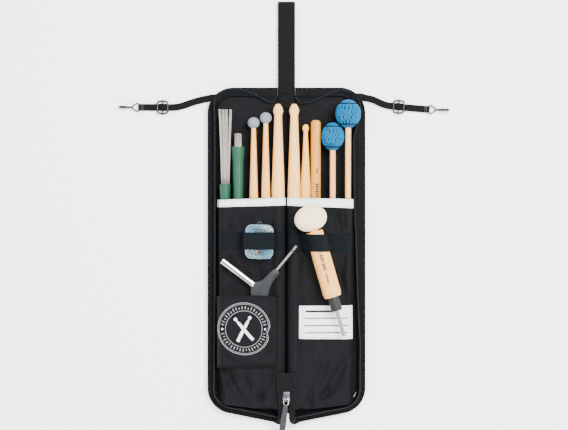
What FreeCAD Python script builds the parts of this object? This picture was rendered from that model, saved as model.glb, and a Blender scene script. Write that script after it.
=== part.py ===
import FreeCAD, Part
import math
import os

import Sketcher
from FreeCAD import Placement, Rotation, Vector

# Drum stick bag, lying open on its back. +Z is up, +Y points to the hanging strap, +X to the leaf
# that folds over. The origin is on the bag's back face, on the fold line. All sizes are in
# millimetres.

doc = FreeCAD.newDocument("drum_stick_bag")
sheet = doc.addObject("Spreadsheet::Sheet", "Sizes")
sizes = {}


def size(alias, millimetres):
    """Puts one driving dimension into the sheet."""
    row = len(sizes) + 1
    sizes[alias] = float(millimetres)
    sheet.set(f"A{row}", alias)
    sheet.set(f"B{row}", str(millimetres))
    sheet.setAlias(f"B{row}", alias)


def val(number):
    """The value of a plain number, or of an expression over the sheet's names."""
    if not isinstance(number, str):
        return float(number)
    total = 0.0
    for term in number.split("+"):
        factor = 1.0
        for name in term.split("*"):
            factor *= sizes[name] if name in sizes else float(name)
        total += factor
    return total


def expr(number):
    """The same as text for setExpression."""
    if not isinstance(number, str):
        return f"{float(number):.6f}"
    terms = []
    for term in number.split("+"):
        names = [f"Sizes.{name}" if name in sizes else f"({name})" for name in term.split("*")]
        terms.append(" * ".join(names))
    return " + ".join(terms)


# ---------------------------------------------------------------- driving dimensions

size("half_width", 103)              # fold line to the foot of the side wall
size("leaf_top", 226)
size("low_inner", -238.5)            # foot of the leaf at the fold
size("low_outer", -218)              # and at its outer corner
size("corner_round", 26)
size("notch_round", 9)
size("fold_gap", 0.15)
size("cover_thick", 1.0)
size("foam_thick", 4.0)
size("lining_thick", 0.6)
size("leaf_floor", 5.6)              # cover, foam and lining together
size("wall_thick", 1.2)
size("wall_top", 9.0)
size("tape_thick", 0.8)
size("cloth_thick", 0.8)
size("cloth_low", 24.8)              # underside of the stick pockets at stick_foot
size("stick_foot", -222)
size("rise", 0.018)                  # sticks and pockets climb towards the mouth
size("mouth", 78)
size("band_wide", 25)
size("band_thick", 1.2)
size("strap_wide", 25)
size("strap_thick", 1.2)
size("strap_low", 0.3)
size("strap_high", 7.4)
size("strap_end", 362)
size("tom_wide", 10)
size("tom_thick", 1.2)
size("tom_low", 2.4)
size("chain_low", 27.3)
size("start_wide", 8.4)
size("shaft_radius", 7.1)
size("big_radius", 9.2)
size("mallet_radius", 4.1)
size("grip_radius", 7.2)
size("lift", 5.9)                    # height of whatever rests on the lining

RIM_START = 15.3                     # the rim leaves this much of the fold free
RISE = sizes["rise"]
ALONG = Vector(0, 1, RISE)


def cloth_top(y):
    """Height of the stick pockets' outer face."""
    return sizes["cloth_low"] + sizes["cloth_thick"] + RISE * (y - sizes["stick_foot"])


# ---------------------------------------------------------------- building blocks


def place(x, y, z, direction=Vector(0, 1, 0)):
    """A place whose own +Y points along the direction."""
    return Placement(Vector(x, y, z), Rotation(Vector(0, 1, 0), direction))


def on_cloth(x, y, lift, turn=0.0):
    """A place on the pockets' outer face, turned anticlockwise in plan by some degrees."""
    spot = place(x, y, cloth_top(y) + lift, ALONG)
    return spot * Placement(Vector(), Rotation(Vector(0, 0, 1), turn))


def box(name, low, high, where=Placement()):
    """A Part::Box between two corners of the place it is given, its sides bound to the sheet."""
    made = doc.addObject("Part::Box", name)
    made.Label = name
    for side, a, b in zip(("Length", "Width", "Height"), low, high):
        if isinstance(b, str) and b.startswith("+"):
            made.setExpression(side, expr(b[1:]))
        else:
            made.setExpression(side, f"{expr(b)} - ({expr(a)})")
    made.Placement = where * Placement(Vector(*[val(a) for a in low]), Rotation())
    return made


def cylinder(name, radius, length, where, start=0.0):
    """A Part::Cylinder along the +Y of the place it is given."""
    made = doc.addObject("Part::Cylinder", name)
    made.Label = name
    made.setExpression("Radius", expr(radius))
    made.setExpression("Height", expr(length))
    upright = Placement(Vector(0, start, 0), Rotation(Vector(0, 0, 1), Vector(0, 1, 0)))
    made.Placement = where * upright
    return made


def group(name, members):
    """Several solids that make one sub-part."""
    made = doc.addObject("Part::Compound", name)
    made.Label = name
    made.Links = members
    return made


def sketch_on(body, name, role="XY_Plane"):
    drawing = body.newObject("Sketcher::SketchObject", name)
    plane = next(p for p in body.Origin.OriginFeatures if p.Role == role)
    drawing.AttachmentSupport = (plane, [""])
    drawing.MapMode = "FlatFace"
    return drawing


def bind(drawing, kind, args, amount):
    index = drawing.addConstraint(Sketcher.Constraint(kind, *args, val(amount)))
    drawing.setExpression(f"Constraints[{index}]", expr(amount))


def draw(drawing, corners):
    """A closed outline. A corner is (x, y), or (x, y, bow): the edge that leaves it is then an
    arc that stands off its chord by bow, to the right of the way it goes."""
    points = [Vector(val(c[0]), val(c[1]), 0) for c in corners]
    edges = []
    for i, corner in enumerate(corners):
        a, b = points[i], points[(i + 1) % len(points)]
        if len(corner) == 2:
            edges.append((drawing.addGeometry(Part.LineSegment(a, b)), 1, 2, None))
            continue
        along = (b - a).normalize()
        middle = (a + b) * 0.5 + Vector(along.y, -along.x, 0) * corner[2]
        index = drawing.addGeometry(Part.Arc(a, middle, b))
        arc = drawing.Geometry[index]
        forward = (arc.StartPoint - a).Length < 1e-6
        edges.append((index, 1 if forward else 2, 2 if forward else 1, arc.Radius))
    for i, (index, first, last, radius) in enumerate(edges):
        following = edges[(i + 1) % len(edges)]
        drawing.addConstraint(Sketcher.Constraint("Coincident", index, last, following[0], following[1]))
    for (index, first, last, radius), corner in zip(edges, corners):
        bind(drawing, "DistanceX", (-1, 1, index, first), corner[0])
        bind(drawing, "DistanceY", (-1, 1, index, first), corner[1])
        if radius:
            drawing.addConstraint(Sketcher.Constraint("Radius", index, radius))


def pad(body, drawing, length, name, midplane=False):
    made = body.newObject("PartDesign::Pad", name)
    made.Profile = drawing
    made.Midplane = midplane
    made.setExpression("Length", expr(length))
    return made


def slab(name, corners, thick, where=Placement(), role="XY_Plane", midplane=False):
    """A flat piece: an outline padded to its thickness."""
    body = doc.addObject("PartDesign::Body", name)
    body.Label = name
    drawing = sketch_on(body, name + "_outline", role)
    draw(drawing, corners)
    pad(body, drawing, thick, name + "_pad", midplane)
    body.Placement = where
    return body


def turned(name, corners, where):
    """A turned piece: half its outline, spun round the sketch's own +Y."""
    body = doc.addObject("PartDesign::Body", name)
    body.Label = name
    drawing = sketch_on(body, name + "_profile")
    draw(drawing, corners)
    spin = body.newObject("PartDesign::Revolution", name + "_spin")
    spin.Profile = drawing
    spin.ReferenceAxis = (drawing, ["V_Axis"])
    spin.Angle = 360
    body.Placement = where
    return body


def round_upright(body, radius, name, wanted):
    """Rounds the upright edges of a body whose foot passes the test."""
    doc.recompute()
    names = []
    for i, edge in enumerate(body.Tip.Shape.Edges):
        a, b = edge.Vertexes[0].Point, edge.Vertexes[-1].Point
        if math.hypot(a.x - b.x, a.y - b.y) < 1e-4 and wanted(a):
            names.append(f"Edge{i + 1}")
    tip = body.Tip
    made = body.newObject("PartDesign::Fillet", name)
    made.Base = (tip, names)
    made.setExpression("Radius", expr(radius))


def prism(low, high):
    """A solid between two rings of corners in the same order."""
    faces = [Part.Face(Part.makePolygon(ring + ring[:1])) for ring in (low, high)]
    for i in range(len(low)):
        j = (i + 1) % len(low)
        faces.append(Part.Face(Part.makePolygon([low[i], low[j], high[j], high[i], low[i]])))
    solid = Part.Solid(Part.Shell(faces))
    if solid.Volume < 0:
        solid.reverse()
    return solid


def plain(name, shape, where=Placement()):
    """A sub-part whose shape is made here: offsets and slanted cloth fit no primitive."""
    made = doc.addObject("Part::Feature", name)
    made.Label = name
    made.Shape = shape
    made.Placement = where
    return made


# ---------------------------------------------------------------- the two padded leaves


def leaf_layer(name, side, bottom, thick):
    """One layer of a leaf, from the fold to the foot of the side wall, with round corners."""
    inner, outer = ("fold_gap", "half_width") if side > 0 else ("-1*fold_gap", "-1*half_width")
    corners = [(inner, "low_inner"), (outer, "low_outer"), (outer, "leaf_top"), (inner, "leaf_top")]
    body = slab(name, corners, thick, place(0, 0, bottom))
    round_upright(body, "corner_round", name + "_corners", lambda p: abs(p.x) > 50)
    round_upright(body, "notch_round", name + "_notch", lambda p: abs(p.x) < 1 and p.y < 0)
    return body


def rim(lining, side, outward, inward, bottom, top):
    """The part of a leaf between two offsets of its outline, clear of the fold."""
    doc.recompute()
    face = min(lining.Shape.Faces, key=lambda f: f.CenterOfMass.z)
    outline = Part.Face(face.OuterWire)
    outline.translate(Vector(0, 0, bottom - face.CenterOfMass.z))
    outer = outline.makeOffset2D(outward) if outward else outline
    inner = outline.makeOffset2D(inward) if inward else outline
    up = Vector(0, 0, top - bottom)
    ring = outer.extrude(up).cut(inner.extrude(up))
    start = RIM_START if side > 0 else -RIM_START - 400
    keep = Part.makeBox(400, 800, 100, Vector(start, -400, -10))
    return ring.common(keep).Solids


def leaf(word, side):
    """Cover, foam, lining, side wall, bound edge and zip chain of one leaf."""
    leaf_layer(f"{word}_outer_cover", side, 0, "cover_thick")
    leaf_layer(f"{word}_foam_pad", side, sizes["cover_thick"], "foam_thick")
    lining = leaf_layer(f"{word}_lining", side, 5.0, "lining_thick")
    top = sizes["wall_top"]
    wall = rim(lining, side, 0, -sizes["wall_thick"], sizes["leaf_floor"], top)
    plain(f"{word}_gusset", Part.makeCompound(wall))
    plain(f"{word}_binding", Part.makeCompound(rim(lining, side, 0.4, -2.2, top, top + 2.4)))
    tape = rim(lining, side, 11.0, 0, top - sizes["tape_thick"], top)
    coil = rim(lining, side, 11.0, 8.8, top, top + 1.4)
    plain(f"{word}_zip_chain", Part.makeCompound(tape + coil))


leaf("left", -1)
leaf("right", 1)

# ---------------------------------------------------------------- pockets


def slanted_plate(corners, drop, thick):
    """A flat plate lying on the rising plane of the pockets, so far above or below it."""
    low = [Vector(x, y, cloth_top(y) + drop) for x, y in corners]
    return prism(low, [p + Vector(0, 0, thick) for p in low])


def inset(corners, amount):
    """The same convex outline (anticlockwise), drawn in by some amount."""
    lines = []
    for a, b in zip(corners, corners[1:] + corners[:1]):
        long = math.hypot(b[0] - a[0], b[1] - a[1])
        normal = (-(b[1] - a[1]) / long, (b[0] - a[0]) / long)
        lines.append((normal, normal[0] * a[0] + normal[1] * a[1] + amount))
    drawn = []
    for (n, c), (m, d) in zip(lines[-1:] + lines[:-1], lines):
        det = n[0] * m[1] - n[1] * m[0]
        drawn.append(((c * m[1] - d * n[1]) / det, (n[0] * d - m[0] * c) / det))
    return drawn


def pocket(name, corners, open_edge, floor, roof_drop, thick):
    """A pocket: a cloth front with a wall down from every edge but the open one. The floor and
    the front's height are given for a point's y."""
    inner = inset(corners, thick)
    count = len(corners)
    pieces = [slanted_plate(corners, roof_drop, thick)]
    for i in range(count):
        if i == open_edge:
            continue
        j = (i + 1) % count
        ring = [corners[i], corners[j], inner[j], inner[i]]
        low = [Vector(x, y, floor(y)) for x, y in ring]
        high = [Vector(x, y, cloth_top(y) + roof_drop) for x, y in ring]
        pieces.append(prism(low, high))
    plain(name, Part.makeCompound(pieces))


MOUTH, FOOT, CLOTH = sizes["mouth"], -229.0, sizes["cloth_thick"]
right_outline = [(0.7, FOOT), (80, -219), (93, -212), (100, -196), (100, MOUTH), (0.7, MOUTH)]
left_outline = [(-1.5, MOUTH), (-100, MOUTH), (-100, -196), (-93, -212), (-80, -219), (-1.5, FOOT)]
pocket("right_stick_pocket", right_outline, 4, lambda y: sizes["lift"], -CLOTH, CLOTH)
pocket("left_stick_pocket", left_outline, 0, lambda y: sizes["lift"], -CLOTH, CLOTH)

# The mouths are bound with white tape, which sags towards the outer edge.
plain("left_pocket_binding", slanted_plate([(-99.5, 64), (-1.8, 66.5), (-1.8, 77.5), (-99.5, 75)], 0, 0.6))
plain("right_pocket_binding", slanted_plate([(1, 66.5), (97, 62.5), (97, 75.5), (1, 77.5)], 0, 0.6))

flap_outline = [(-10.8, -62), (-99.5, -62), (-99.5, -166), (-10.8, -166)]
pocket("accessory_pocket", flap_outline, 0, lambda y: cloth_top(y), 10.8, CLOTH)
plain("id_label", slanted_plate([(18.5, -128), (96.6, -128), (96.6, -78), (18.5, -78)], 0, 0.4))

# ---------------------------------------------------------------- elastic band


def strip(profile, top_y, shift, thick):
    """A band of cloth: a line in the XZ plane, thickened outward and drawn along the shift."""
    points = [Vector(x, top_y, z) for x, z in profile]
    normals = []
    for a, b in zip(points, points[1:]):
        way = (b - a).normalize()
        normals.append(Vector(-way.z, 0, way.x))
    outer = []
    for i, p in enumerate(points):
        near = normals[max(i - 1, 0):i + 1]
        mean = sum(near, Vector()).normalize()
        outer.append(p + mean * (thick / mean.dot(near[0])))
    pieces = []
    for i in range(len(points) - 1):
        ring = [points[i], points[i + 1], outer[i + 1], outer[i]]
        pieces.append(prism(ring, [p + shift for p in ring]))
    return pieces


BAND = sizes["band_wide"]
band_fall = Vector(0, -BAND, -BAND * RISE)
left_top = 28.0
left_z = cloth_top(left_top)
case_top = left_z + 17.2
left_band = strip([(-97, left_z), (-61.8, left_z), (-61.5, case_top), (-17, case_top),
                   (-16.7, left_z), (-2, left_z)], left_top, band_fall, sizes["band_thick"])
plain("left_elastic", Part.makeCompound(left_band))

# The right half climbs over the beater's grip and follows its slant.
beater_head = Vector(34, 48, 47.5)
beater_way = (beater_head - Vector(82, -119, 39.5)).normalize()
right_top = 26.0
right_z = cloth_top(right_top)
middle = beater_head + beater_way * ((right_top - BAND / 2 - beater_head.y) / beater_way.y)
lean = beater_way * (-BAND / beater_way.y)
hump_shift = Vector(lean.x, -BAND, -BAND * RISE)
axis_x = middle.x - lean.x / 2
hump = [(axis_x - 24.4, right_z), (axis_x - 15.7, middle.z + 2), (axis_x - 9.8, middle.z + 12.9),
        (axis_x, middle.z + 15.6), (axis_x + 9.8, middle.z + 12.9), (axis_x + 15.7, middle.z + 2),
        (axis_x + 18.6, right_z)]
flats = []
for ends in ((2, hump[0][0]), (98, hump[-1][0])):
    outer_x, foot_x = ends
    ring = [(outer_x, right_top), (foot_x, right_top), (foot_x + lean.x, right_top - BAND),
            (outer_x, right_top - BAND)]
    flats.append(slanted_plate(ring, 0, sizes["band_thick"]))
hump_pieces = strip(hump, right_top, hump_shift, sizes["band_thick"])
flats = [flat.cut(Part.makeCompound(hump_pieces)) for flat in flats]
flat_solids = [solid for flat in flats for solid in flat.Solids]
plain("right_elastic", Part.makeCompound(flat_solids + hump_pieces))

# ---------------------------------------------------------------- zip: its start, slider and pull

strips = []
for side, word in ((-1, "left"), (1, "right")):
    near = 3.4 if side > 0 else -11.8
    low_end, high_end = -242, -176
    strips.append(box(f"start_tape_{word}", (near, low_end, "chain_low"),
                      ("+start_wide", high_end, "+tape_thick")))
    near = 3.4 if side > 0 else -5.4
    strips.append(box(f"start_coil_{word}", (near, low_end, "chain_low+tape_thick"),
                      (near + 2, high_end, "+0.8")))
group("zip_start_chain", strips)

tab = slab("zip_end_tab", [(-14, -199.4), (14.4, -199.4), (14.4, -173), (-14, -173)], 1.2,
           place(0, 0, 29.0))
round_upright(tab, 3, "tab_corners", lambda p: True)

slider = slab("zip_slider",
              [(-6.2, 26.1), (6.2, 26.1), (6.2, 27.1), (2.2, 27.1), (2.2, 29.1), (6.2, 29.1),
               (6.2, 30.3), (-6.2, 30.3), (-6.2, 29.1), (-2.2, 29.1), (-2.2, 27.1), (-6.2, 27.1)],
              14.4, place(0, -199.8, 0), "XZ_Plane")
doc.recompute()
arch_view = sketch_on(slider, "pull_arch", "YZ_Plane")
draw(arch_view, [(-14.0, 30.0), (-12.6, 30.0), (-12.6, 32.9), (-9.8, 32.9), (-9.8, 30.0),
                 (-8.4, 30.0), (-8.4, 34.1), (-14.0, 34.1)])
pad(slider, arch_view, 2.6, "pull_arch_pad", True)

# The pull hangs on the slider's arch and points past the bag's foot, a little aslant.
pull_at = place(0, -211, 31.7, Vector(-0.145, -1, 0))
pull = slab("zip_pull", [(-2.9, -0.6), (2.9, -0.6), (2.9, 7.5), (-2.9, 7.5)], 1.1, pull_at,
            midplane=True)
doc.recompute()
window = sketch_on(pull, "ring_window")
draw(window, [(-1.9, 0.6), (1.9, 0.6), (1.9, 5.2), (-1.9, 5.2)])
hole = pull.newObject("PartDesign::Pocket", "ring_hole")
hole.Profile = window
hole.Type = 1
hole.Midplane = True
doc.recompute()
grip_view = sketch_on(pull, "grip_outline")
draw(grip_view, [(-2.8, 7), (2.8, 7), (4.6, 36), (4.6, 42, 3.6), (-4.6, 42), (-4.6, 36)])
pad(pull, grip_view, 2.6, "grip_pad", True)
doc.recompute()
eye_view = sketch_on(pull, "grip_eye")
ring = eye_view.addGeometry(Part.Circle(Vector(0, 41, 0), Vector(0, 0, 1), 1.3))
bind(eye_view, "Radius", (ring,), 1.3)
eye = pull.newObject("PartDesign::Pocket", "grip_eye_cut")
eye.Profile = eye_view
eye.Type = 1
eye.Midplane = True

# ---------------------------------------------------------------- hanging strap

box("hang_strap_anchor", (-12.5, 206, "lift"), ("+strap_wide", 226.1, "+strap_thick"))
bend = (sizes["strap_high"] - sizes["strap_low"]) / 2
bend_start = sizes["strap_end"] - bend
middle_z = sizes["strap_low"] + bend


def loop_end(radius, turns):
    """The bend at the far end of the loop, as a run of corners."""
    angles = [math.radians(-90 + 180 * turn / 6) for turn in turns]
    return [(bend_start + radius * math.cos(a), middle_z + radius * math.sin(a)) for a in angles]


slab("hang_strap",
     [(226.9, "strap_low")] + loop_end(bend, range(7))
     + [(226.9, "strap_high"), (226.9, "strap_high+-1*strap_thick")]
     + loop_end(bend - sizes["strap_thick"], range(6, -1, -1)) + [(226.9, "strap_low+strap_thick")],
     "strap_wide", role="YZ_Plane", midplane=True)

# ---------------------------------------------------------------- straps that hook onto a drum


def ribbon(points, wide):
    """The outline of a flat strap along a bent line."""
    sides = ([], [])
    for i, p in enumerate(points):
        before = points[max(i - 1, 0)]
        after = points[min(i + 1, len(points) - 1)]
        long = math.hypot(after[0] - before[0], after[1] - before[1])
        normal = (-(after[1] - before[1]) / long, (after[0] - before[0]) / long)
        for sign, side in zip((1, -1), sides):
            side.append((p[0] + sign * normal[0] * wide / 2, p[1] + sign * normal[1] * wide / 2))
    return sides[1] + sides[0][::-1]


def tom_strap(word, points, glide_share):
    """A strap, its three-bar slider and its snap hook."""
    slab(f"{word}_tom_strap", ribbon(points, sizes["tom_wide"]), "tom_thick",
         place(0, 0, sizes["tom_low"]))
    start, end = [Vector(*p, 0) for p in points[-2:]]
    way = (end - start).normalize()
    spot = start + (end - start) * glide_share
    here = place(spot.x, spot.y, 0, way)
    bars = []
    for i, x in enumerate((-9.7, 7.5)):
        bars.append(box(f"{word}_glide_side_{i}", (x, -8.3, 0.2), (x + 2.2, 8.3, 5.8), here))
    for i, (y, z) in enumerate(((-8.3, 3.9), (-1.0, 0.2), (6.3, 3.9))):
        bars.append(box(f"{word}_glide_bar_{i}", (-7.5, y, z), (7.5, y + 2, z + 1.9), here))
    group(f"{word}_tom_glide", bars)
    hook = place(end.x, end.y, 0, way)
    frame = [box(f"{word}_ring_bar", (-6.5, 0.4, 2.1), (6.5, 2.2, 3.9), hook)]
    for side in (-1, 1):
        corners = [(6.5, 2.2), (4.3, 2.2), (0.1, 7.2), (0.1, 9.4), (1.6, 9.4)]
        ring = [Vector(side * x, y, 2.1) for x, y in corners]
        limb = prism(ring, [p + Vector(0, 0, 1.8) for p in ring])
        frame.append(plain(f"{word}_ring_limb_{side + 1}", limb, hook))
    frame.append(box(f"{word}_hook_neck", (-1.5, 9.4, 1.2), (1.5, 13, 4.8), hook))
    frame.append(box(f"{word}_hook_root", (-1.9, 13, 0.3), (1.9, 15, 11.7), hook))
    frame.append(box(f"{word}_hook_back", (-1.9, 15, 0.3), (1.9, 27, 2.3), hook))
    frame.append(box(f"{word}_hook_gate", (-1.9, 15, 9.7), (1.9, 27, 11.7), hook))
    frame.append(box(f"{word}_hook_nose", (-1.9, 27, 0.3), (1.9, 29, 11.7), hook))
    group(f"{word}_tom_hook", frame)


tom_strap("left", [(-111, 222), (-135, 216.5), (-160, 208.6), (-213.5, 208.8)], 0.36)
tom_strap("right", [(111, 222.6), (124, 220.6), (146, 211), (206, 205.6)], 0.27)

# ---------------------------------------------------------------- sticks


def stick_place(x, butt_y, radius):
    """Lying on the lining with its butt in the pocket, climbing towards the mouth."""
    z = sizes["lift"] + radius + RISE * (butt_y - sizes["stick_foot"])
    return place(x, butt_y, z, ALONG)


def bead_stick(name, x, butt_y, radius, length, taper, neck, bead):
    """A stick with a rounded butt, a long taper and an acorn bead."""
    bead_long = bead * 2.3
    throat = length - bead_long
    turned(name,
           [(0, 0), (f"{radius}+-3", 0, 0.9), (radius, 3), (radius, length - taper),
            (neck, throat), (bead, throat + bead_long * 0.38, 0.9), (bead * 0.4, length),
            (0, length)],
           stick_place(x, butt_y, val(radius)))


bead_stick("stick_c", -12, -222, sizes["big_radius"], 434, 120, 5.5, 7.3)
bead_stick("stick_d", 11, -222, sizes["big_radius"], 434, 120, 5.5, 7.3)
bead_stick("stick_e", 27.5, -222, sizes["shaft_radius"], 405, 90, 3.0, 4.7)

# This one stands tip down, so its butt shows.
f_z = sizes["lift"] + sizes["shaft_radius"]
f_place = place(42, -217, f_z + RISE * 5, ALONG)
turned("stick_f",
       [(0, 0), (2.1, 0, 0.2), (4.7, 6.7, 0.9), (3.0, 10.8), ("shaft_radius", 90),
        ("shaft_radius", 403), ("shaft_radius+-3", 406), (0, 406)], f_place)

# ---------------------------------------------------------------- mallets


def ball(name, across, upward, lengthwise, bore_radius, bore_end, where):
    """An egg-shaped head, bored from behind for its shaft."""
    egg = doc.addObject("Part::Ellipsoid", name + "_egg")
    egg.Radius1 = upward
    egg.Radius2 = across
    egg.Radius3 = lengthwise
    egg.Placement = where
    bore = cylinder(name + "_bore", bore_radius, 2 * lengthwise + bore_end, where, -2 * lengthwise)
    made = doc.addObject("Part::Cut", name)
    made.Label = name
    made.Base = egg
    made.Tool = bore


def practice_stick(word, x, butt_y):
    """A stick with a push-on rubber ball tip."""
    where = stick_place(x, butt_y, val("shaft_radius"))
    turned(f"stick_{word}",
           [(0, 0), ("shaft_radius+-2.5", 0, 0.8), ("shaft_radius", 2.5), ("shaft_radius", 262),
            (3.3, 388), (3.3, 394), (0, 394)], where)
    ball(f"stick_{word}_tip", 8.6, 8.6, 8.1, 3.32, -3.28,
         where * Placement(Vector(0, 397.3, 0), Rotation()))


practice_stick("a", -47.2, -212)
practice_stick("b", -29.8, -205)


def mallet(word, x, butt_y, tilt, head_y, head_radius):
    z = sizes["lift"] + sizes["mallet_radius"] + RISE * (butt_y - sizes["stick_foot"])
    where = place(x, butt_y, z, Vector(0, 1, tilt))
    span = (head_y - butt_y) * math.hypot(1, tilt)
    turned(f"mallet_{word}_shaft",
           [(0, 0), ("mallet_radius+-1", 0), ("mallet_radius", 1), ("mallet_radius", span + 8),
            (0, span + 8)], where)
    centre = where * Placement(Vector(0, span, 0), Rotation())
    ball(f"mallet_{word}_head", head_radius, head_radius, 20.4, sizes["mallet_radius"] + 0.02, 8.02,
         centre)


mallet(1, 66.3, -219, 0.038, 165.3, 16.6)
mallet(2, 88.1, -185, 0.0479, 197.6, 18.3)

# ---------------------------------------------------------------- wire brushes

brush_1 = stick_place(-88.3, -73, 8.0)
turned("brush_1_handle",
       [(5.5, 0), (6.4, 0, 0.3), ("grip_radius", 1.2), ("grip_radius", 148), (7.9, 164),
        (8.1, 170), (5.5, 170)], brush_1)
fan_low = [Vector(-5.3, 170.1, -4.4), Vector(5.3, 170.1, -4.4), Vector(9.2, 278, -3), Vector(-9.2, 278, -3)]
fan_high = [Vector(p.x, p.y, -p.z) for p in fan_low]
plain("brush_1_wires", prism(fan_low, fan_high), brush_1)

brush_2 = stick_place(-69.6, -20, 8.0)
turned("brush_2_handle",
       [(5.5, 0), (6.4, 0, 0.3), ("grip_radius", 1.2), ("grip_radius", 98), (7.9, 150),
        (8.8, 160), (9.1, 166), (9.1, 171), (5.5, 171)], brush_2)
turned("brush_2_wires",
       [(0, -6), (1.6, -6), (1.6, 90), (5.2, 96), (5.2, 190.4), (0, 190.4)], brush_2)

# ---------------------------------------------------------------- earplug case


def case_shell(name, low, high, floor_z, rim_z):
    """A shallow tray with a round-cornered outline, as a floor and four walls."""
    (x0, y0), (x1, y1), t = low, high, 1.2
    here = on_cloth(-39, 14.2, 0.8)
    lid = floor_z > rim_z
    z0, z1 = sorted((floor_z, floor_z - t if lid else floor_z + t))
    w0, w1 = (rim_z, z0) if lid else (z1, rim_z)
    plates = [((x0, y0, z0), (x1, y1, z1)), ((x0, y0, w0), (x0 + t, y1, w1)),
              ((x1 - t, y0, w0), (x1, y1, w1)), ((x0 + t, y0, w0), (x1 - t, y0 + t, w1)),
              ((x0 + t, y1 - t, w0), (x1 - t, y1, w1))]
    parts = [box(f"{name}_plate_{i}", a, b, here) for i, (a, b) in enumerate(plates)]
    if not lid:
        for i, x in enumerate((-5.2, 2.8)):
            parts.append(box(f"{name}_eye_side_{i}", (x, y1, 0), (x + 2.4, y1 + 3.4, 2), here))
        parts.append(box(f"{name}_eye_end", (-5.2, y1 + 3.4, 0), (5.2, y1 + 5.6, 2), here))
    return group(name, parts)


case_shell("plug_case_base", (-21, -25.2), (21, 25.2), 0, 10)
case_shell("plug_case_lid", (-21, -25.2), (21, 25.2), 16.2, 10.02)
plug_at = on_cloth(-39, 14.2, 8.7)
plugs = []
for i, (x, y) in enumerate(((12, -23.5), (-12, 1.5))):
    spot = plug_at * Placement(Vector(x, y, 0), Rotation())
    plugs.append(turned(f"plug_{i}", [(0, 0), (4.2, 0), (5.6, 5, 0.5), (4.6, 10), (5.9, 12, 0.5),
                                      (3.6, 19), (0, 19)], spot))
group("earplugs", plugs)

# ---------------------------------------------------------------- drum key

key_lift = 1.6
key_at = on_cloth(0, 0, key_lift)


def key_plate(corners):
    low = [key_at.multVec(Vector(x, y, 0)) for x, y in corners]
    high = [key_at.multVec(Vector(x, y, 8)) for x, y in corners]
    return prism(low, high)


palm = [(-51, -62), (-25.5, -62), (-22, -48), (-27, -37), (-43, -42), (-50, -51)]
stem = [(-44, -98), (-31, -98), (-25.5, -62), (-51, -62)]
arm = [(-27, -37), (-22, -48), (-9.5, -29), (-19, -22)]
plain("drum_key_body", Part.makeCompound([key_plate(c) for c in (palm, stem, arm)]))
socket_at = key_at * place(-46.52, -46.49, 4.8, Vector(-0.7893, 0.614, 0))
turned("drum_key_socket", [(3.1, 34), (3.1, 57), (4.75, 57), (4.75, 0.2), (0, 0.2), (0, 34)], socket_at)
driver_at = key_at * place(-14.0, -25.1, 4.0, Vector(-0.638, -0.770, 0))
hexagon = [(2.9 * math.cos(a * math.pi / 3), 2.9 * math.sin(a * math.pi / 3)) for a in range(6)]
driver = slab("drum_key_driver", hexagon, 44, driver_at, "XZ_Plane")

# ---------------------------------------------------------------- bass drum beater

beater_at = Placement(beater_head, Rotation(Vector(0, 1, 0), beater_way))
ball("beater_head", 23.5, 16, 19, 6.02, 8, beater_at)
down = Placement(beater_head, Rotation(Vector(0, 1, 0), beater_way * -1))
turned("beater_handle",
       [(0, -7.9), (6, -7.9), (6, 19.6), (12.1, 19.6), (13.3, 62), (13.1, 110), (11.9, 115.5),
        (0, 115.5)], down)
turned("beater_collar", [(0, 115.6), (7.2, 115.6), (8.0, 119), (8.0, 136), (0, 136)], down)
cylinder("beater_rod", 2.8, 38, down, 136.1)

# ---------------------------------------------------------------- check and write

NODES = [f"{word}_{piece}" for word in ("left", "right")
         for piece in ("outer_cover", "foam_pad", "lining", "gusset", "binding", "zip_chain",
                       "stick_pocket", "pocket_binding", "elastic", "tom_strap", "tom_glide",
                       "tom_hook")]
NODES += ["accessory_pocket", "id_label", "zip_start_chain", "zip_end_tab", "zip_slider", "zip_pull",
          "hang_strap_anchor", "hang_strap"]
NODES += ["stick_a", "stick_a_tip", "stick_b", "stick_b_tip", "stick_c", "stick_d", "stick_e",
          "stick_f", "mallet_1_shaft", "mallet_1_head", "mallet_2_shaft", "mallet_2_head"]
NODES += ["brush_1_handle", "brush_1_wires", "brush_2_handle", "brush_2_wires", "plug_case_base",
          "plug_case_lid", "earplugs", "drum_key_body", "drum_key_socket", "drum_key_driver",
          "beater_head", "beater_handle", "beater_collar", "beater_rod"]

doc.recompute()
for thing in doc.Objects:
    if "Invalid" in thing.State or "Error" in thing.State:
        raise RuntimeError(f"{thing.Label}: {thing.State}")
    shape = getattr(thing, "Shape", None)
    if shape is not None and shape.Solids and (shape.isNull() or not shape.isValid()):
        raise RuntimeError(f"{thing.Label} has no sound shape")

os.makedirs("parts", exist_ok=True)
for node in NODES:
    thing = doc.getObjectsByLabel(node)[0]
    if thing.Shape.isNull() or not thing.Shape.isValid() or not thing.Shape.Solids:
        raise RuntimeError(f"{node} has no sound shape")
    thing.Shape.exportStep(f"parts/{node}.step")
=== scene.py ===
import math

import bpy
import numpy as np
from mathutils import Matrix, Vector, noise


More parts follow.
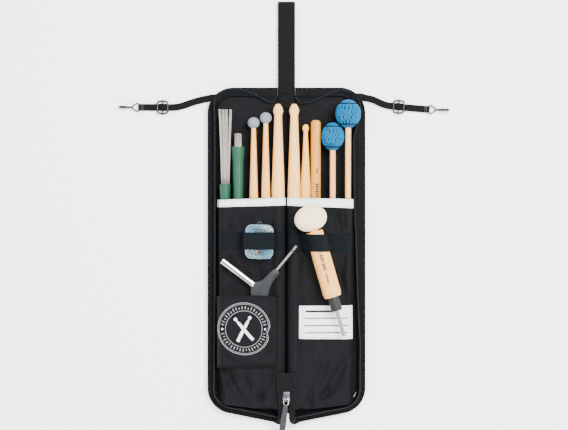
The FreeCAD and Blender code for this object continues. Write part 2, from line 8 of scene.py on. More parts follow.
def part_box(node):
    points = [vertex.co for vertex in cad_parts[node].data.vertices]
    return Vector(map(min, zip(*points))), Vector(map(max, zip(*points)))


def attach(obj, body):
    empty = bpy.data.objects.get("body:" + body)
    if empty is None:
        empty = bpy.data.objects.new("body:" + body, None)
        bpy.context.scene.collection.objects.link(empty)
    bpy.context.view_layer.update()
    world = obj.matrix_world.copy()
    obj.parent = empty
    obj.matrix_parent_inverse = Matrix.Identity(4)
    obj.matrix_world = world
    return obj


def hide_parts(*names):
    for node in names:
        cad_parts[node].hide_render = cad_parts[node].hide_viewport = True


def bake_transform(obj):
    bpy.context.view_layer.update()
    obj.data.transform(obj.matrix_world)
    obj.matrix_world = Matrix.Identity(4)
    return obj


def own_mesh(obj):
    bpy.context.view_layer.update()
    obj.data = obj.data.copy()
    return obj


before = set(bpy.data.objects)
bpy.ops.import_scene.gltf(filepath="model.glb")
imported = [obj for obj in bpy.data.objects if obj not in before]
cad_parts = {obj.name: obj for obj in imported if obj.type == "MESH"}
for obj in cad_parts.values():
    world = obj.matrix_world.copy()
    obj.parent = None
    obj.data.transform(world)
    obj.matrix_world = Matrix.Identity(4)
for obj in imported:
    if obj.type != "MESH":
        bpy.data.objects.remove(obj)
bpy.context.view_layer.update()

bl_info = {
    "name": "Drum Stick Bag",
    "version": (1, 0, 0),
    "blender": (4, 5, 0),
    "location": "3D View > Sidebar > Stick Bag",
    "description": "Builds an open drum stick bag with its sticks and tools",
    "category": "Object",
}

MM = 0.001
RISE = 0.018  # slope of the pockets and of the sticks in them
UP = Vector((0, 0, 1))
# In millimetres.
STICK_FOOT, POCKET_Z = -222, 25.6  # where the pockets' plane starts, and its height there
CLOTH_GAP, CLOTH_LOWEST = 1.3, 6.4  # from a rod to the cloth over it, and the lowest height of the cloth
TEETH_OUT = 9.7  # from the side wall's foot to the zip's teeth
BEATER_AT, BEATER_WAY = (34, 48, 47.5), Vector((-48, 167, 8))  # centre of its head, and the way it points
LENS, SENSOR = 90, 36
CAMERA_X, CAMERA_Y = -3.6, 52.9
# In metres.
FLOOR_HALF, FLOOR_Z = 6, -0.0006
GOLDEN_ANGLE = 2.39996

# ---------------------------------------------------------------- settings


def colour_setting(name, description, default):
    return bpy.props.FloatVectorProperty(
        name=name, description=description, default=default, size=3, min=0, max=1, subtype="COLOR")


def length_setting(name, description, default):
    return bpy.props.FloatProperty(
        name=name, description=description, default=default, min=0, unit="LENGTH")


class BagSizes(bpy.types.PropertyGroup):
    """Sizes of the sewn details."""
    piping: length_setting("Piping", "Radius of the bound edge", 0.0010)
    wall: length_setting("Wall", "Height of the side wall's bound edge", 0.0125)
    wrinkle: length_setting("Wrinkle", "Height of the cloth's soft wrinkles", 0.0007)
    crease: length_setting("Crease", "Depth of the cloth's folds", 0.0060)
    tooth_gap: length_setting("Tooth gap", "Distance between the zip's teeth", 0.0022)


class BagColours(bpy.types.PropertyGroup):
    """Colours, as linear values."""
    cloth: colour_setting("Cloth", "Bag cloth", (0.0050, 0.0051, 0.0061))
    facing: colour_setting("Facing", "Side wall and its lining", (0.0028, 0.0040, 0.0051))
    elastic: colour_setting("Elastic", "Elastic band", (0.0034, 0.0052, 0.0066))
    webbing: colour_setting("Webbing", "Straps and zip tape", (0.0042, 0.0042, 0.0049))
    white: colour_setting("White tape", "Pocket mouths and label", (0.84, 0.88, 0.91))
    maple: colour_setting("Maple", "Pale sticks", (1.0, 0.53, 0.17))
    hickory: colour_setting("Hickory", "Stick with a small bead", (0.98, 0.47, 0.09))
    stained: colour_setting("Stained", "Amber stick", (0.66, 0.27, 0.030))
    birch: colour_setting("Birch", "Mallet shafts and the beater's grip", (1.0, 0.455, 0.12))
    yarn: colour_setting("Yarn", "Mallet heads", (0.0, 0.110, 0.250))
    felt: colour_setting("Felt", "Beater head", (1.0, 0.82, 0.57))
    green: colour_setting("Green", "Brush handles", (0.006, 0.064, 0.031))
    grey: colour_setting("Grey", "Practice tips", (0.175, 0.205, 0.228))
    slate: colour_setting("Slate", "Drum key grip", (0.0125, 0.0138, 0.0158))
    clear: colour_setting("Clear plastic", "Earplug case", (0.085, 0.150, 0.185))


class StageSettings(bpy.types.PropertyGroup):
    """Floor, light and camera."""
    floor: colour_setting("Floor", "Floor", (0.93, 0.93, 0.93))
    light: bpy.props.FloatProperty(
        name="Light", description="Power of the big overhead lamp in watts", default=128, min=0)
    distance: length_setting("Distance", "Camera height", 2.059)


# ---------------------------------------------------------------- shader groups and materials


def new_group(name, inputs, outputs):
    group = bpy.data.node_groups.new(name, "ShaderNodeTree")
    for title, kind, default in inputs:
        socket = group.interface.new_socket(title, in_out="INPUT", socket_type=kind)
        socket.default_value = default
    for title, kind in outputs:
        group.interface.new_socket(title, in_out="OUTPUT", socket_type=kind)
    return group, group.nodes.new("NodeGroupInput"), group.nodes.new("NodeGroupOutput")


def scaled(group, source, values):
    """Object coordinates times a fixed vector, times the group's Scale."""
    nodes, links = group.nodes, group.links
    where = nodes.new("ShaderNodeTexCoord")
    stretch = nodes.new("ShaderNodeVectorMath")
    stretch.operation = "MULTIPLY"
    stretch.inputs[1].default_value = values
    links.new(where.outputs["Object"], stretch.inputs[0])
    grow = nodes.new("ShaderNodeVectorMath")
    grow.operation = "SCALE"
    links.new(stretch.outputs[0], grow.inputs[0])
    links.new(source.outputs["Scale"], grow.inputs["Scale"])
    return grow.outputs[0]


def math_node(group, operation, a, b):
    node = group.nodes.new("ShaderNodeMath")
    node.operation = operation
    for socket, value in zip(node.inputs, (a, b)):
        if isinstance(value, (int, float)):
            socket.default_value = value
        else:
            group.links.new(value, socket)
    return node.outputs[0]


def mix_colours(group, factor, a, b):
    node = group.nodes.new("ShaderNodeMix")
    node.data_type = "RGBA"
    group.links.new(factor, node.inputs["Factor"])
    group.links.new(a, node.inputs[6])
    group.links.new(b, node.inputs[7])
    return node.outputs[2]


COLOUR_INPUTS = [("Dark", "NodeSocketColor", (0, 0, 0, 1)), ("Light", "NodeSocketColor", (1, 1, 1, 1)),
                 ("Scale", "NodeSocketFloat", 1.0)]
LOOK_OUTPUTS = [("Colour", "NodeSocketColor"), ("Height", "NodeSocketFloat"),
                ("Roughness", "NodeSocketFloat")]


def wave_group(name, stretch, kinds, mottle):
    """Threads: one or two sets of fine waves, with slow patches of tone."""
    group, source, out = new_group(name, COLOUR_INPUTS, LOOK_OUTPUTS)
    spot = scaled(group, source, stretch)
    heights = []
    for direction in kinds:
        wave = group.nodes.new("ShaderNodeTexWave")
        wave.bands_direction = direction
        wave.inputs["Scale"].default_value = 1.0
        wave.inputs["Distortion"].default_value = 0.6
        wave.inputs["Detail"].default_value = 1.0
        group.links.new(spot, wave.inputs["Vector"])
        heights.append(wave.outputs["Fac"])
    height = heights[0] if len(heights) == 1 else math_node(group, "MULTIPLY", *heights)
    patches = group.nodes.new("ShaderNodeTexNoise")
    patches.inputs["Scale"].default_value = 26.0
    patches.inputs["Detail"].default_value = 6.0
    tone = math_node(group, "MULTIPLY", patches.outputs["Fac"], mottle)
    tone = math_node(group, "ADD", tone, math_node(group, "MULTIPLY", height, 1 - mottle))
    group.links.new(mix_colours(group, tone, source.outputs["Dark"], source.outputs["Light"]),
                    out.inputs["Colour"])
    group.links.new(height, out.inputs["Height"])
    group.links.new(math_node(group, "ADD", math_node(group, "MULTIPLY", tone, -0.15), 0.82),
                    out.inputs["Roughness"])
    return group


def noise_group(name, stretch, scale, detail, contrast, rough):
    """Grain, fibre or scratches: noise drawn out along an axis."""
    group, source, out = new_group(name, COLOUR_INPUTS, LOOK_OUTPUTS)
    spot = scaled(group, source, stretch)
    grain = group.nodes.new("ShaderNodeTexNoise")
    grain.inputs["Scale"].default_value = scale
    grain.inputs["Detail"].default_value = detail
    group.links.new(spot, grain.inputs["Vector"])
    ramp = group.nodes.new("ShaderNodeMapRange")
    ramp.inputs["From Min"].default_value = 0.5 - contrast
    ramp.inputs["From Max"].default_value = 0.5 + contrast
    group.links.new(grain.outputs["Fac"], ramp.inputs["Value"])
    tone = ramp.outputs["Result"]
    group.links.new(mix_colours(group, tone, source.outputs["Dark"], source.outputs["Light"]),
                    out.inputs["Colour"])
    group.links.new(tone, out.inputs["Height"])
    group.links.new(math_node(group, "ADD", math_node(group, "MULTIPLY", tone, 0.1), rough),
                    out.inputs["Roughness"])
    return group


def build_groups():
    return {
        "weave": wave_group("Plain weave", (1, 1, 1), ("X", "Y"), 0.65),
        "ribs": wave_group("Ribbed tape", (1, 1, 1), ("X",), 0.45),
        "cross_ribs": wave_group("Cross ribs", (1, 1, 1), ("Y",), 0.55),
        "grain": noise_group("Wood grain", (1, 0.045, 1), 420.0, 5.0, 0.28, 0.36),
        "fibre": noise_group("Fibre", (1, 1, 1), 900.0, 4.0, 0.25, 0.85),
        "scratch": noise_group("Fine scratches", (1, 0.1, 1), 1500.0, 3.0, 0.3, 0.22),
    }


def tint(colour, factor):
    return tuple(min(1.0, c * factor) for c in colour) + (1.0,)


def material(name, colour, group, scale=1.0, spread=(0.75, 1.2), bump=0.3, depth=0.0002,
             metallic=0.0, coat=0.0, roughness=None, shine=0.5):
    """A Principled material whose colour, roughness and relief come from a shader group."""
    made = bpy.data.materials.new(name)
    made.use_nodes = True
    nodes, links = made.node_tree.nodes, made.node_tree.links
    shader = nodes["Principled BSDF"]
    look = nodes.new("ShaderNodeGroup")
    look.node_tree = group
    look.inputs["Dark"].default_value = tint(colour, spread[0])
    look.inputs["Light"].default_value = tint(colour, spread[1])
    look.inputs["Scale"].default_value = scale
    relief = nodes.new("ShaderNodeBump")
    relief.inputs["Strength"].default_value = bump
    relief.inputs["Distance"].default_value = depth
    links.new(look.outputs["Colour"], shader.inputs["Base Color"])
    links.new(look.outputs["Height"], relief.inputs["Height"])
    links.new(relief.outputs["Normal"], shader.inputs["Normal"])
    if roughness is None:
        links.new(look.outputs["Roughness"], shader.inputs["Roughness"])
    else:
        shader.inputs["Roughness"].default_value = roughness
    shader.inputs["Metallic"].default_value = metallic
    shader.inputs["Coat Weight"].default_value = coat
    shader.inputs["Specular IOR Level"].default_value = shine
    return made


def build_materials(colours):
    groups = build_groups()
    weave, ribs, cross, grain = (groups[k] for k in ("weave", "ribs", "cross_ribs", "grain"))
    fibre, scratch = groups["fibre"], groups["scratch"]
    made = {
        "cloth": material("Bag cloth", colours.cloth, weave, 480, (0.7, 1.45), 0.35, shine=0.08),
        "facing": material("Facing", colours.facing, weave, 420, (0.75, 1.4), 0.4, shine=0.06),
        "piping": material("Piping", (0.0085, 0.0098, 0.0110), cross, 300, (0.5, 1.7), 0.4, shine=0.1),
        "elastic": material("Elastic", colours.elastic, ribs, 190, (0.55, 1.5), 0.6, 0.0004, shine=0.06),
        "webbing": material("Webbing", colours.webbing, cross, 240, (0.5, 1.9), 0.8, 0.0005, shine=0.08),
        "tape": material("Zip tape", colours.webbing, weave, 260, (0.3, 2.2), 0.8, 0.0004, shine=0.08),
        "white": material("White tape", colours.white, cross, 420, (0.93, 1.08), 0.25, shine=0.3),
        "label": material("Label", colours.white, weave, 420, (0.95, 1.06), 0.15, shine=0.3),
        "maple": material("Maple", colours.maple, grain, 1, (0.86, 1.08), 0.1, shine=0.3),
        "hickory": material("Hickory", colours.hickory, grain, 1, (0.8, 1.15), 0.1, shine=0.3),
        "stained": material("Stained hickory", colours.stained, grain, 1, (0.6, 1.25), 0.15, shine=0.35),
        "birch": material("Birch", colours.birch, grain, 1, (0.82, 1.12), 0.1, shine=0.3),
        "grey": material("Practice rubber", colours.grey, fibre, 1, (0.93, 1.08), 0.1, roughness=0.62,
                         shine=0.3),
        "yarn": material("Yarn", colours.yarn, fibre, 0.7, (0.55, 1.5), 0.6, roughness=0.8, shine=0.15),
        # The core is the yarn colour at half strength: painted shade, so that the gaps between the strands
        # look deep.
        "yarn_gap_shade": material("Yarn core painted shade", tint(colours.yarn, 0.5)[:3], fibre, 1, (0.6, 1.2), 0.6,
                              shine=0.1),
        "seam": material("Seam thread", (0.020, 0.021, 0.024), fibre, 1, (0.8, 1.2), 0.3, shine=0.1),
        "thread": material("Black thread", (0.006, 0.006, 0.009), fibre, 1, (0.8, 1.2), 0.3, shine=0.2),
        "felt": material("Felt", colours.felt, fibre, 0.6, (0.9, 1.08), 0.7, 0.0006, shine=0.1),
        "green": material("Green plastic", colours.green, fibre, 1, (0.95, 1.06), 0.05, roughness=0.42,
                          shine=0.3),
        "steel": material("Wire", (0.46, 0.42, 0.36), scratch, 1, (0.5, 1.3), 0.1, metallic=0.25,
                          roughness=0.45),
        "chrome": material("Chrome", (0.92, 0.92, 0.93), scratch, 1, (0.96, 1.03), 0.03,
                           metallic=1.0, roughness=0.16),
        "rod": material("Steel rod", (0.50, 0.51, 0.53), scratch, 1, (0.9, 1.1), 0.05, metallic=1.0,
                        roughness=0.3),
        "gunmetal": material("Gunmetal", (0.024, 0.028, 0.033), scratch, 1, (0.8, 1.3), 0.1,
                             metallic=0.6, roughness=0.34),
        "zip_metal": material("Zip metal", (0.105, 0.113, 0.122), scratch, 1, (0.85, 1.15), 0.1,
                              metallic=0.6, roughness=0.4),
        "pull": material("Pull", (0.024, 0.026, 0.029), fibre, 1, (0.9, 1.1), 0.1, roughness=0.5, shine=0.3),
        "slate": material("Slate plastic", colours.slate, fibre, 1, (0.95, 1.06), 0.1, roughness=0.5,
                          shine=0.3),
        "black": material("Black plastic", (0.013, 0.014, 0.015), fibre, 1, (0.9, 1.2), 0.1,
                          roughness=0.5, shine=0.3),
        "clear": material("Clear plastic", colours.clear, fibre, 1, (0.97, 1.03), 0.02,
                          roughness=0.14, coat=0.4),
        "rim": material("Plastic edge", tint(colours.clear, 2.2)[:3], fibre, 1, (0.97, 1.03), 0.02,
                        roughness=0.2),
        "plug": material("Silicone", (0.0, 0.21, 0.50), fibre, 1, (0.95, 1.05), 0.05, roughness=0.45),
        "print": material("White print", (0.27, 0.28, 0.29), fibre, 1, (0.9, 1.05), 0.1, roughness=0.7,
                          shine=0.2),
        "ink": material("Dark print", (0.012, 0.013, 0.016), fibre, 1, (0.9, 1.1), 0.05, roughness=0.6,
                        shine=0.2),
        "orange": material("Orange", (0.85, 0.16, 0.01), fibre, 1, (0.95, 1.05), 0.05, roughness=0.5),
    }
    made["clear"].node_tree.nodes["Principled BSDF"].inputs["Alpha"].default_value = 0.28
    return made


MATERIALS = {}

# ---------------------------------------------------------------- mesh building, in millimetres


def build(name, shape, look, body=None, stands_for=()):
    """A smooth mesh from points in millimetres and faces. It rides on a body of the frame."""
    verts, faces = shape
    data = bpy.data.meshes.new(name)
    data.from_pydata([(x * MM, y * MM, z * MM) for x, y, z in verts], [], faces)
    data.validate()
    data.update()
    data.polygons.foreach_set("use_smooth", [True] * len(data.polygons))
    data.materials.append(MATERIALS[look])
    made = bpy.data.objects.new(name, data)
    bpy.context.scene.collection.objects.link(made)
    if body:
        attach(made, body)
    if stands_for:
        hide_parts(*stands_for)
    return made


def grid_faces(rows, columns, start=0, close_columns=False, flip=False):
    """Faces of a grid of points, numbered row by row from the start."""
    faces = []
    for i in range(rows - 1):
        for j in range(columns if close_columns else columns - 1):
            a, b = start + i * columns + j, start + i * columns + (j + 1) % columns
            c, d = b + columns, a + columns
            faces.append((a, d, c, b) if flip else (a, b, c, d))
    return faces


def skin(grid, thick, close_columns=False):
    """Points and faces of a thin sheet: a grid of points given a thickness downward or inward."""
    grid = np.asarray(grid, float)
    rows, columns = grid.shape[:2]
    du = np.gradient(grid, axis=0)
    if close_columns:
        dv = np.roll(grid, -1, 1) - np.roll(grid, 1, 1)
    else:
        dv = np.gradient(grid, axis=1)
    normal = np.cross(du, dv)
    length = np.linalg.norm(normal, axis=2, keepdims=True)
    normal = normal / np.where(length < 1e-9, 1, length)
    back = grid - normal * thick
    verts = np.concatenate([grid.reshape(-1, 3), back.reshape(-1, 3)])
    count = rows * columns
    faces = grid_faces(rows, columns, 0, close_columns=close_columns, flip=True)
    faces += grid_faces(rows, columns, count, close_columns=close_columns)
    for i in range(0 if close_columns else rows - 1):
        for j, turn in ((0, False), (columns - 1, True)):
            a, b = i * columns + j, (i + 1) * columns + j
            ring = (a, b, b + count, a + count)
            faces.append(ring[::-1] if turn else ring)
    for j in range(columns if close_columns else columns - 1):
        for i, turn in ((0, True), (rows - 1, False)):
            a, b = i * columns + j, i * columns + (j + 1) % columns
            ring = (a, b, b + count, a + count)
            faces.append(ring[::-1] if turn else ring)
    return verts.tolist(), faces


def frames_along(path, up, fixed_side):
    """Point, side and lift directions at every point of a path."""
    path = [Vector(p) for p in path]
    for i, p in enumerate(path):
        way = (path[min(i + 1, len(path) - 1)] - path[max(i - 1, 0)]).normalized()
        side = Vector(fixed_side) if fixed_side else way.cross(up)
        side = side.normalized() if side.length > 1e-6 else Vector((1, 0, 0))
        yield p, side, side.cross(way).normalized()


def sweep(path, section, up=UP, scales=None, fixed_side=None):
    """A closed section (side, lift) drawn along a path, with flat ends."""
    verts, count = [], len(section)
    for i, (p, side, lift) in enumerate(frames_along(path, up, fixed_side)):
        k = 1.0 if scales is None else scales[i]
        verts += [tuple(p + side * (s * k) + lift * (t * k)) for s, t in section]
    rows = len(verts) // count
    faces = grid_faces(rows, count, close_columns=True)
    faces += [tuple(range(count))[::-1], tuple(range((rows - 1) * count, rows * count))]
    return verts, faces


def circle(radius, count=12):
    turns = [2 * math.pi * k / count for k in range(count)]
    return [(radius * math.cos(a), radius * math.sin(a)) for a in turns]


def flat_section(wide, thick):
    """A strap's section with softly rounded edges."""
    w, t = wide / 2, thick / 2
    return [(w - t, -t), (w - t * 0.3, -t * 0.7), (w, 0), (w - t * 0.3, t * 0.7), (w - t, t),
            (w * 0.33, t), (-w * 0.33, t), (t - w, t), (t * 0.3 - w, t * 0.7), (-w, 0),
            (t * 0.3 - w, -t * 0.7), (t - w, -t), (-w * 0.33, -t), (w * 0.33, -t)]


def combine(parts):
    """Several (points, faces) as one."""
    verts, faces = [], []
    for v, f in parts:
        start = len(verts)
        verts += list(v)
        faces += [tuple(i + start for i in face) for face in f]
    return verts, faces


def smooth_path(points, steps=10):
    """A Catmull-Rom line through the points."""
    pts = [Vector(p) for p in points]
    pts = [pts[0] * 2 - pts[1]] + pts + [pts[-1] * 2 - pts[-2]]
    line = []
    for a, b, c, d in zip(pts, pts[1:], pts[2:], pts[3:]):
        for k in range(steps):
            t = k / steps
            line.append(0.5 * (2 * b + (c - a) * t + (2 * a - 5 * b + 4 * c - d) * t * t
                               + (3 * b - a - 3 * c + d) * t ** 3))
    line.append(pts[-2])
    return line


def lathe(profile, where=Matrix(), count=40):
    """A profile of (radius, y) spun round its own +Y, then placed."""
    verts, rows = [], len(profile)
    for r, y in profile:
        for k in range(count):
            a = 2 * math.pi * k / count
            verts.append(tuple(where @ Vector((max(r, 0.01) * math.cos(a), y, -max(r, 0.01) * math.sin(a)))))
    faces = grid_faces(rows, count, close_columns=True)
    faces += [tuple(range(count))[::-1], tuple(range((rows - 1) * count, rows * count))]
    return verts, faces


def aim(x, y, z, way):
    """A place in millimetres whose own +Y points along the way and whose +Z stays nearly up."""
    forward = Vector(way).normalized()
    side = forward.cross(UP).normalized()
    turn = Matrix((side, forward, side.cross(forward))).transposed().to_4x4()
    return Matrix.Translation(Vector((x, y, z))) @ turn


def slab(low, high, where=Matrix(), bevel=0.4):
    """A box with chamfered edges."""
    (x0, y0, z0), (x1, y1, z1) = low, high
    b = min(bevel, (x1 - x0) / 3, (y1 - y0) / 3, (z1 - z0) / 3)
    rings = []
    for z, inset in ((z0, b), (z0 + b, 0), (z1 - b, 0), (z1, b)):
        ring = []
        for x, sx, y, sy in ((x0, 1, y0, 1), (x1, -1, y0, 1), (x1, -1, y1, -1), (x0, 1, y1, -1)):
            first, second = ((b + inset, inset), (inset, b + inset))
            if (sx > 0) == (sy > 0):
                first, second = second, first
            for a, c in (first, second):
                ring.append((x + sx * a, y + sy * c, z))
        rings += ring
    verts = [tuple(where @ Vector(p)) for p in rings]
    faces = grid_faces(4, 8, close_columns=True)
    faces += [tuple(range(8))[::-1], tuple(range(24, 32))]
    return verts, faces


def plate(outline, thick, where=Matrix(), bevel=0.8):
    """A flat piece from an anticlockwise outline, its top and bottom edges eased."""
    centre = Vector((sum(p[0] for p in outline), sum(p[1] for p in outline))) / len(outline)
    rings = []
    for z, ease in ((0, bevel), (bevel * 0.3, bevel * 0.3), (bevel, 0), (thick - bevel, 0),
                    (thick - bevel * 0.3, bevel * 0.3), (thick, bevel)):
        for p in outline:
            point = Vector(p)
            point += (centre - point).normalized() * ease
            rings.append(tuple(where @ Vector((point.x, point.y, z))))
    n = len(outline)
    faces = grid_faces(6, n, close_columns=True)
    faces += [tuple(range(n))[::-1], tuple(range(5 * n, 6 * n))]
    return rings, faces


def rough(x, y, scale, seed=0.0):
    return noise.noise(Vector((x / scale, y / scale, seed)))

# ---------------------------------------------------------------- the bag's cloth


def plane(y):
    """Height of the flat plane on which the pockets' outer faces lie."""
    return POCKET_Z + RISE * (y - STICK_FOOT)


# Sag of the stick pockets' cloth: x, and height above the pockets' plane.
LEFT_SAG = [(-100.6, -21), (-99.6, -18), (-96.5, -12.5), (-92, -6.0), (-88, -2.4), (-79, -2.6), (-70, -1.3),
            (-58, -3.2), (-47, -1.2), (-38, -2.6), (-30, -1.2), (-21, -2.2), (-12, 0.3), (-8.5, -1.0),
            (-5, -3.6), (-3, -7), (-1.7, -12), (-0.6, -19)]
RIGHT_SAG = [(-0.2, -19), (0.9, -12), (2.2, -7), (4.2, -3.4), (7.6, -1.0), (11, 0.3), (19, -2.3),
             (27.5, -1.5), (35, -2.2), (42, -1.4), (54, -3.4), (66, -2.8), (77, -3.6), (86, -2.6), (91, -5),
             (95, -11), (96.6, -17), (97.2, -21)]
# Folds: start, end, width, depth as a share of the crease setting.
CREASES = [((-94, -150), (-60, -226), 6, 0.9), ((-72, -176), (-34, -214), 7, 0.7),
           ((-20, -168), (-44, -222), 5, 0.8), ((22, -60), (8, -214), 4, 0.7),
           ((96, -140), (50, -214), 7, 1.1), ((60, -150), (30, -222), 6, 0.7),
           ((88, -140), (97, -60), 6, 0.8), ((-17, 62), (-17, -40), 4, 0.6), ((-99, 58), (-84, 26), 8, 1.3),
           ((-84, 0), (-98, -30), 6, 1.2), ((-98, -24), (-92, -60), 5, 0.9), ((20, 0), (12, -60), 5, 0.8),
           ((97, 8), (72, -38), 8, 0.9), ((72, -20), (94, -96), 6, 0.8), ((66, 62), (80, 28), 7, 0.9),
           ((84, 60), (92, 26), 5, 0.8), ((16, 60), (26, -10), 5, 0.5), ((80, -190), (20, -226), 5, 0.9),
           ((-70, 60), (-64, 30), 5, 0.5), ((-44, -14), (-30, -60), 5, 0.4),
           ((-99, 66), (-97, -66), 6, 2.0), ((97, 66), (98, -40), 5, 1.0),
           ((-100, -160), (-78, -196), 5, 1.0)]


def folds(x, y, table, fade):
    """Depth of the folds at a point. Each one fades out over its two ends."""
    total = 0.0
    for (x0, y0), (x1, y1), wide, depth in table:
        dx, dy = x1 - x0, y1 - y0
        t = max(0.0, min(1.0, ((x - x0) * dx + (y - y0) * dy) / (dx * dx + dy * dy)))
        away = math.hypot(x - x0 - t * dx, y - y0 - t * dy) / wide
        total += depth * min(1.0, fade * t, fade * (1 - t)) * math.exp(-away * away)
    return total


# Rods in the pockets: x and y of the butt, radius, height of the axis at the butt, slope, top end.
RODS = ((-47.2, -212, 7.1, 13.2, RISE, 190), (-29.8, -205, 7.1, 13.3, RISE, 190),
        (-12, -222, 9.2, 15.1, RISE, 190), (11, -222, 9.2, 15.1, RISE, 190),
        (27.5, -222, 7.1, 13.0, RISE, 180), (42, -217, 7.1, 13.1, RISE, 189),
        (66.3, -219, 4.1, 10.05, 0.038, 160), (88.1, -185, 4.1, 10.7, 0.0479, 180),
        (-88.3, -73, 8, 16.6, RISE, 97), (-69.6, -20, 8, 17.6, RISE, 151))


def over_rods(x, y, spare):
    """Height of the cloth where it rests on a rod."""
    highest = 0.0
    for rod_x, butt, radius, z, slope, end in RODS:
        reach = radius + spare
        if abs(x - rod_x) < reach and butt - 4 < y < end:
            highest = max(highest, z + slope * (y - butt) + math.sqrt(reach ** 2 - (x - rod_x) ** 2))
    return highest


def cloth_z(x, y, side):
    """Height of the stick pocket's cloth."""
    sizes = bpy.context.scene.bag_sizes
    table = LEFT_SAG if side < 0 else RIGHT_SAG
    xs = [p[0] for p in table]
    drop = float(np.interp(x, xs, [p[1] for p in table]))
    waves = rough(x, y, 34, 3.1) * 1.6 + rough(x, y, 11, 8.2) * 0.5
    inside = min(1.0, max(0.0, (abs(x) - 4) / 8), max(0.0, (99 - abs(x)) / 8))
    z = plane(y) + drop + (waves * sizes.wrinkle - folds(x, y, CREASES, 4) * sizes.crease) / MM * inside
    foot = (y + 229) / 9
    if foot < 1:
        z -= 17 * (1 - max(foot, 0)) ** 2.2
    return max(z, CLOTH_LOWEST, over_rods(x, y, CLOTH_GAP))


def foot_line(x):
    """How far down the pocket reaches at x."""
    a = abs(x)
    if a < 82:
        return -231.5 + a * 0.14
    return -220 + 22 * (1 - math.sqrt(max(0.0, 1 - ((a - 82) / 19) ** 2)))


def mouth_line(x, side):
    share = abs(x) / 100
    return (77.6 - 2.2 * share ** 2 if side < 0 else 77.4 - 1.2 * share) + 0.5 * rough(x, 0, 13, 5 + side)


def pocket_cloth(name, side, low_x, high_x):
    grid = []
    for x in np.linspace(low_x, high_x, 119):
        top, foot = mouth_line(x, side), foot_line(x)
        column = []
        for t in np.linspace(0, 1, 150):
            y = foot + (top - foot) * (1 - (1 - t) ** 1.06)
            column.append((x, y, cloth_z(x, y, side)))
        grid.append(column)
    word = "left" if side < 0 else "right"
    build(name, skin(grid, 0.9), "cloth", f"{word}_leaf", [f"{word}_stick_pocket"])


def on_pocket(x, y, side, lift):
    return (x, y, cloth_z(x, y, side) + lift)


def patch(name, corners, lift, look, side, body, stands_for=(), steps=(40, 12), thick=0.5):
    """A flat patch sewn on a pocket: four corners anticlockwise from the lower left."""
    a, b, c, d = (Vector(p) for p in corners)
    grid = []
    for i in range(steps[0] + 1):
        u = i / steps[0]
        row = []
        for j in range(steps[1] + 1):
            v = j / steps[1]
            p = a.lerp(b, u).lerp(d.lerp(c, u), v)
            row.append(on_pocket(p.x, p.y, side, lift))
        grid.append(row)
    build(name, skin(grid, thick), look, body, stands_for)


def stitches(name, path, look, body, gap=2.6, length=1.7, radius=0.22):
    """A line of stitches along a path of points."""
    pts = [Vector(p) for p in path]
    parts, due = [], 0.0
    for a, b in zip(pts, pts[1:]):
        span = (b - a).length
        way = (b - a).normalized()
        while due < span:
            start = a + way * due
            line = [start, start + way * length * 0.5 + UP * radius, start + way * length]
            parts.append(sweep(line, circle(radius, 5)))
            due += gap
        due -= span
    build(name, combine(parts), look, body)

# ---------------------------------------------------------------- the leaves' edges

HALF, CORNER, TOP = 103.0, 26.0, 226.0
FOOT_SLOPE = 20.5 / 102.85
FOOT = -238.5


def foot_edge(x):
    return FOOT + (abs(x) - 0.15) * FOOT_SLOPE


def rim_points(side, step=3.0):
    """The leaf's outline from beside the fold at the top, out, down and back along the foot."""
    tilt = math.atan(FOOT_SLOPE)
    centre_x = HALF - CORNER
    low_y = foot_edge(centre_x) + CORNER / math.cos(tilt)
    points = [(x, TOP, 0.0, 1.0) for x in np.arange(12.6, centre_x, step / 2)]
    for a in np.linspace(math.pi / 2, 0, 16):
        points.append((centre_x + CORNER * math.cos(a), TOP - CORNER + CORNER * math.sin(a),
                       math.cos(a), math.sin(a)))
    points += [(HALF, y, 1.0, 0.0) for y in np.arange(TOP - CORNER - step, low_y, -step)]
    for a in np.linspace(0, tilt - math.pi / 2, 16):
        points.append((centre_x + CORNER * math.cos(a), low_y + CORNER * math.sin(a),
                       math.cos(a), math.sin(a)))
    end = points[-1][0]
    points += [(x, foot_edge(x), math.sin(tilt), -math.cos(tilt))
               for x in np.linspace(end - step, 9.4, 25)]
    return [(x * side, y, nx * side, ny) for x, y, nx, ny in points]


# Lean of the side walls: distance from the fold or height up the side, and how far out the edge stands.
LEFT_LEAN_TOP = [(12.6, 3.0), (14.6, -1), (16.6, -8), (21.9, -10.3), (28.3, -8.6), (37.6, -2.7),
                 (46.8, 2.4), (60.8, 7.6), (70, 9.2), (90, 9.6), (98, 7.5), (101.5, 3.5), (103, 0.8)]
RIGHT_LEAN_TOP = [(12.6, 2), (13.6, -6), (17.4, -11.2), (22.9, -11.4), (32.2, -10.2), (41.3, -7),
                  (50.7, -2.7), (64.5, 4), (73.8, 7), (90, 9), (98, 7.5), (103, 4)]
RIGHT_LEAN_SIDE = [(-200, 3.2), (-133, 3.5), (-60, -0.3), (0, -1.8), (60, -4.2), (100, -5.2), (162, -6),
                   (172, -4.5), (186, 1.5), (200, 4)]
LEFT_LEAN_SIDE = [(-200, 2.4), (-150, 1.6), (-110, 1.0), (-60, 0.8), (200, 0.8)]
WALL_FOOT = 6.0
TAPE_Z, TAPE_WIDE = 9.0, 11.0
TOP_WALL = 4.6  # the wall lies low where sticks pass over it


def lean(side, x, y):
    """How far outward the side wall's bound edge stands from its foot."""
    if y > 200:
        table = LEFT_LEAN_TOP if side < 0 else RIGHT_LEAN_TOP
        return float(np.interp(abs(x), [p[0] for p in table], [p[1] for p in table]))
    table = LEFT_LEAN_SIDE if side < 0 else RIGHT_LEAN_SIDE
    return float(np.interp(y, [p[0] for p in table], [p[1] for p in table]))


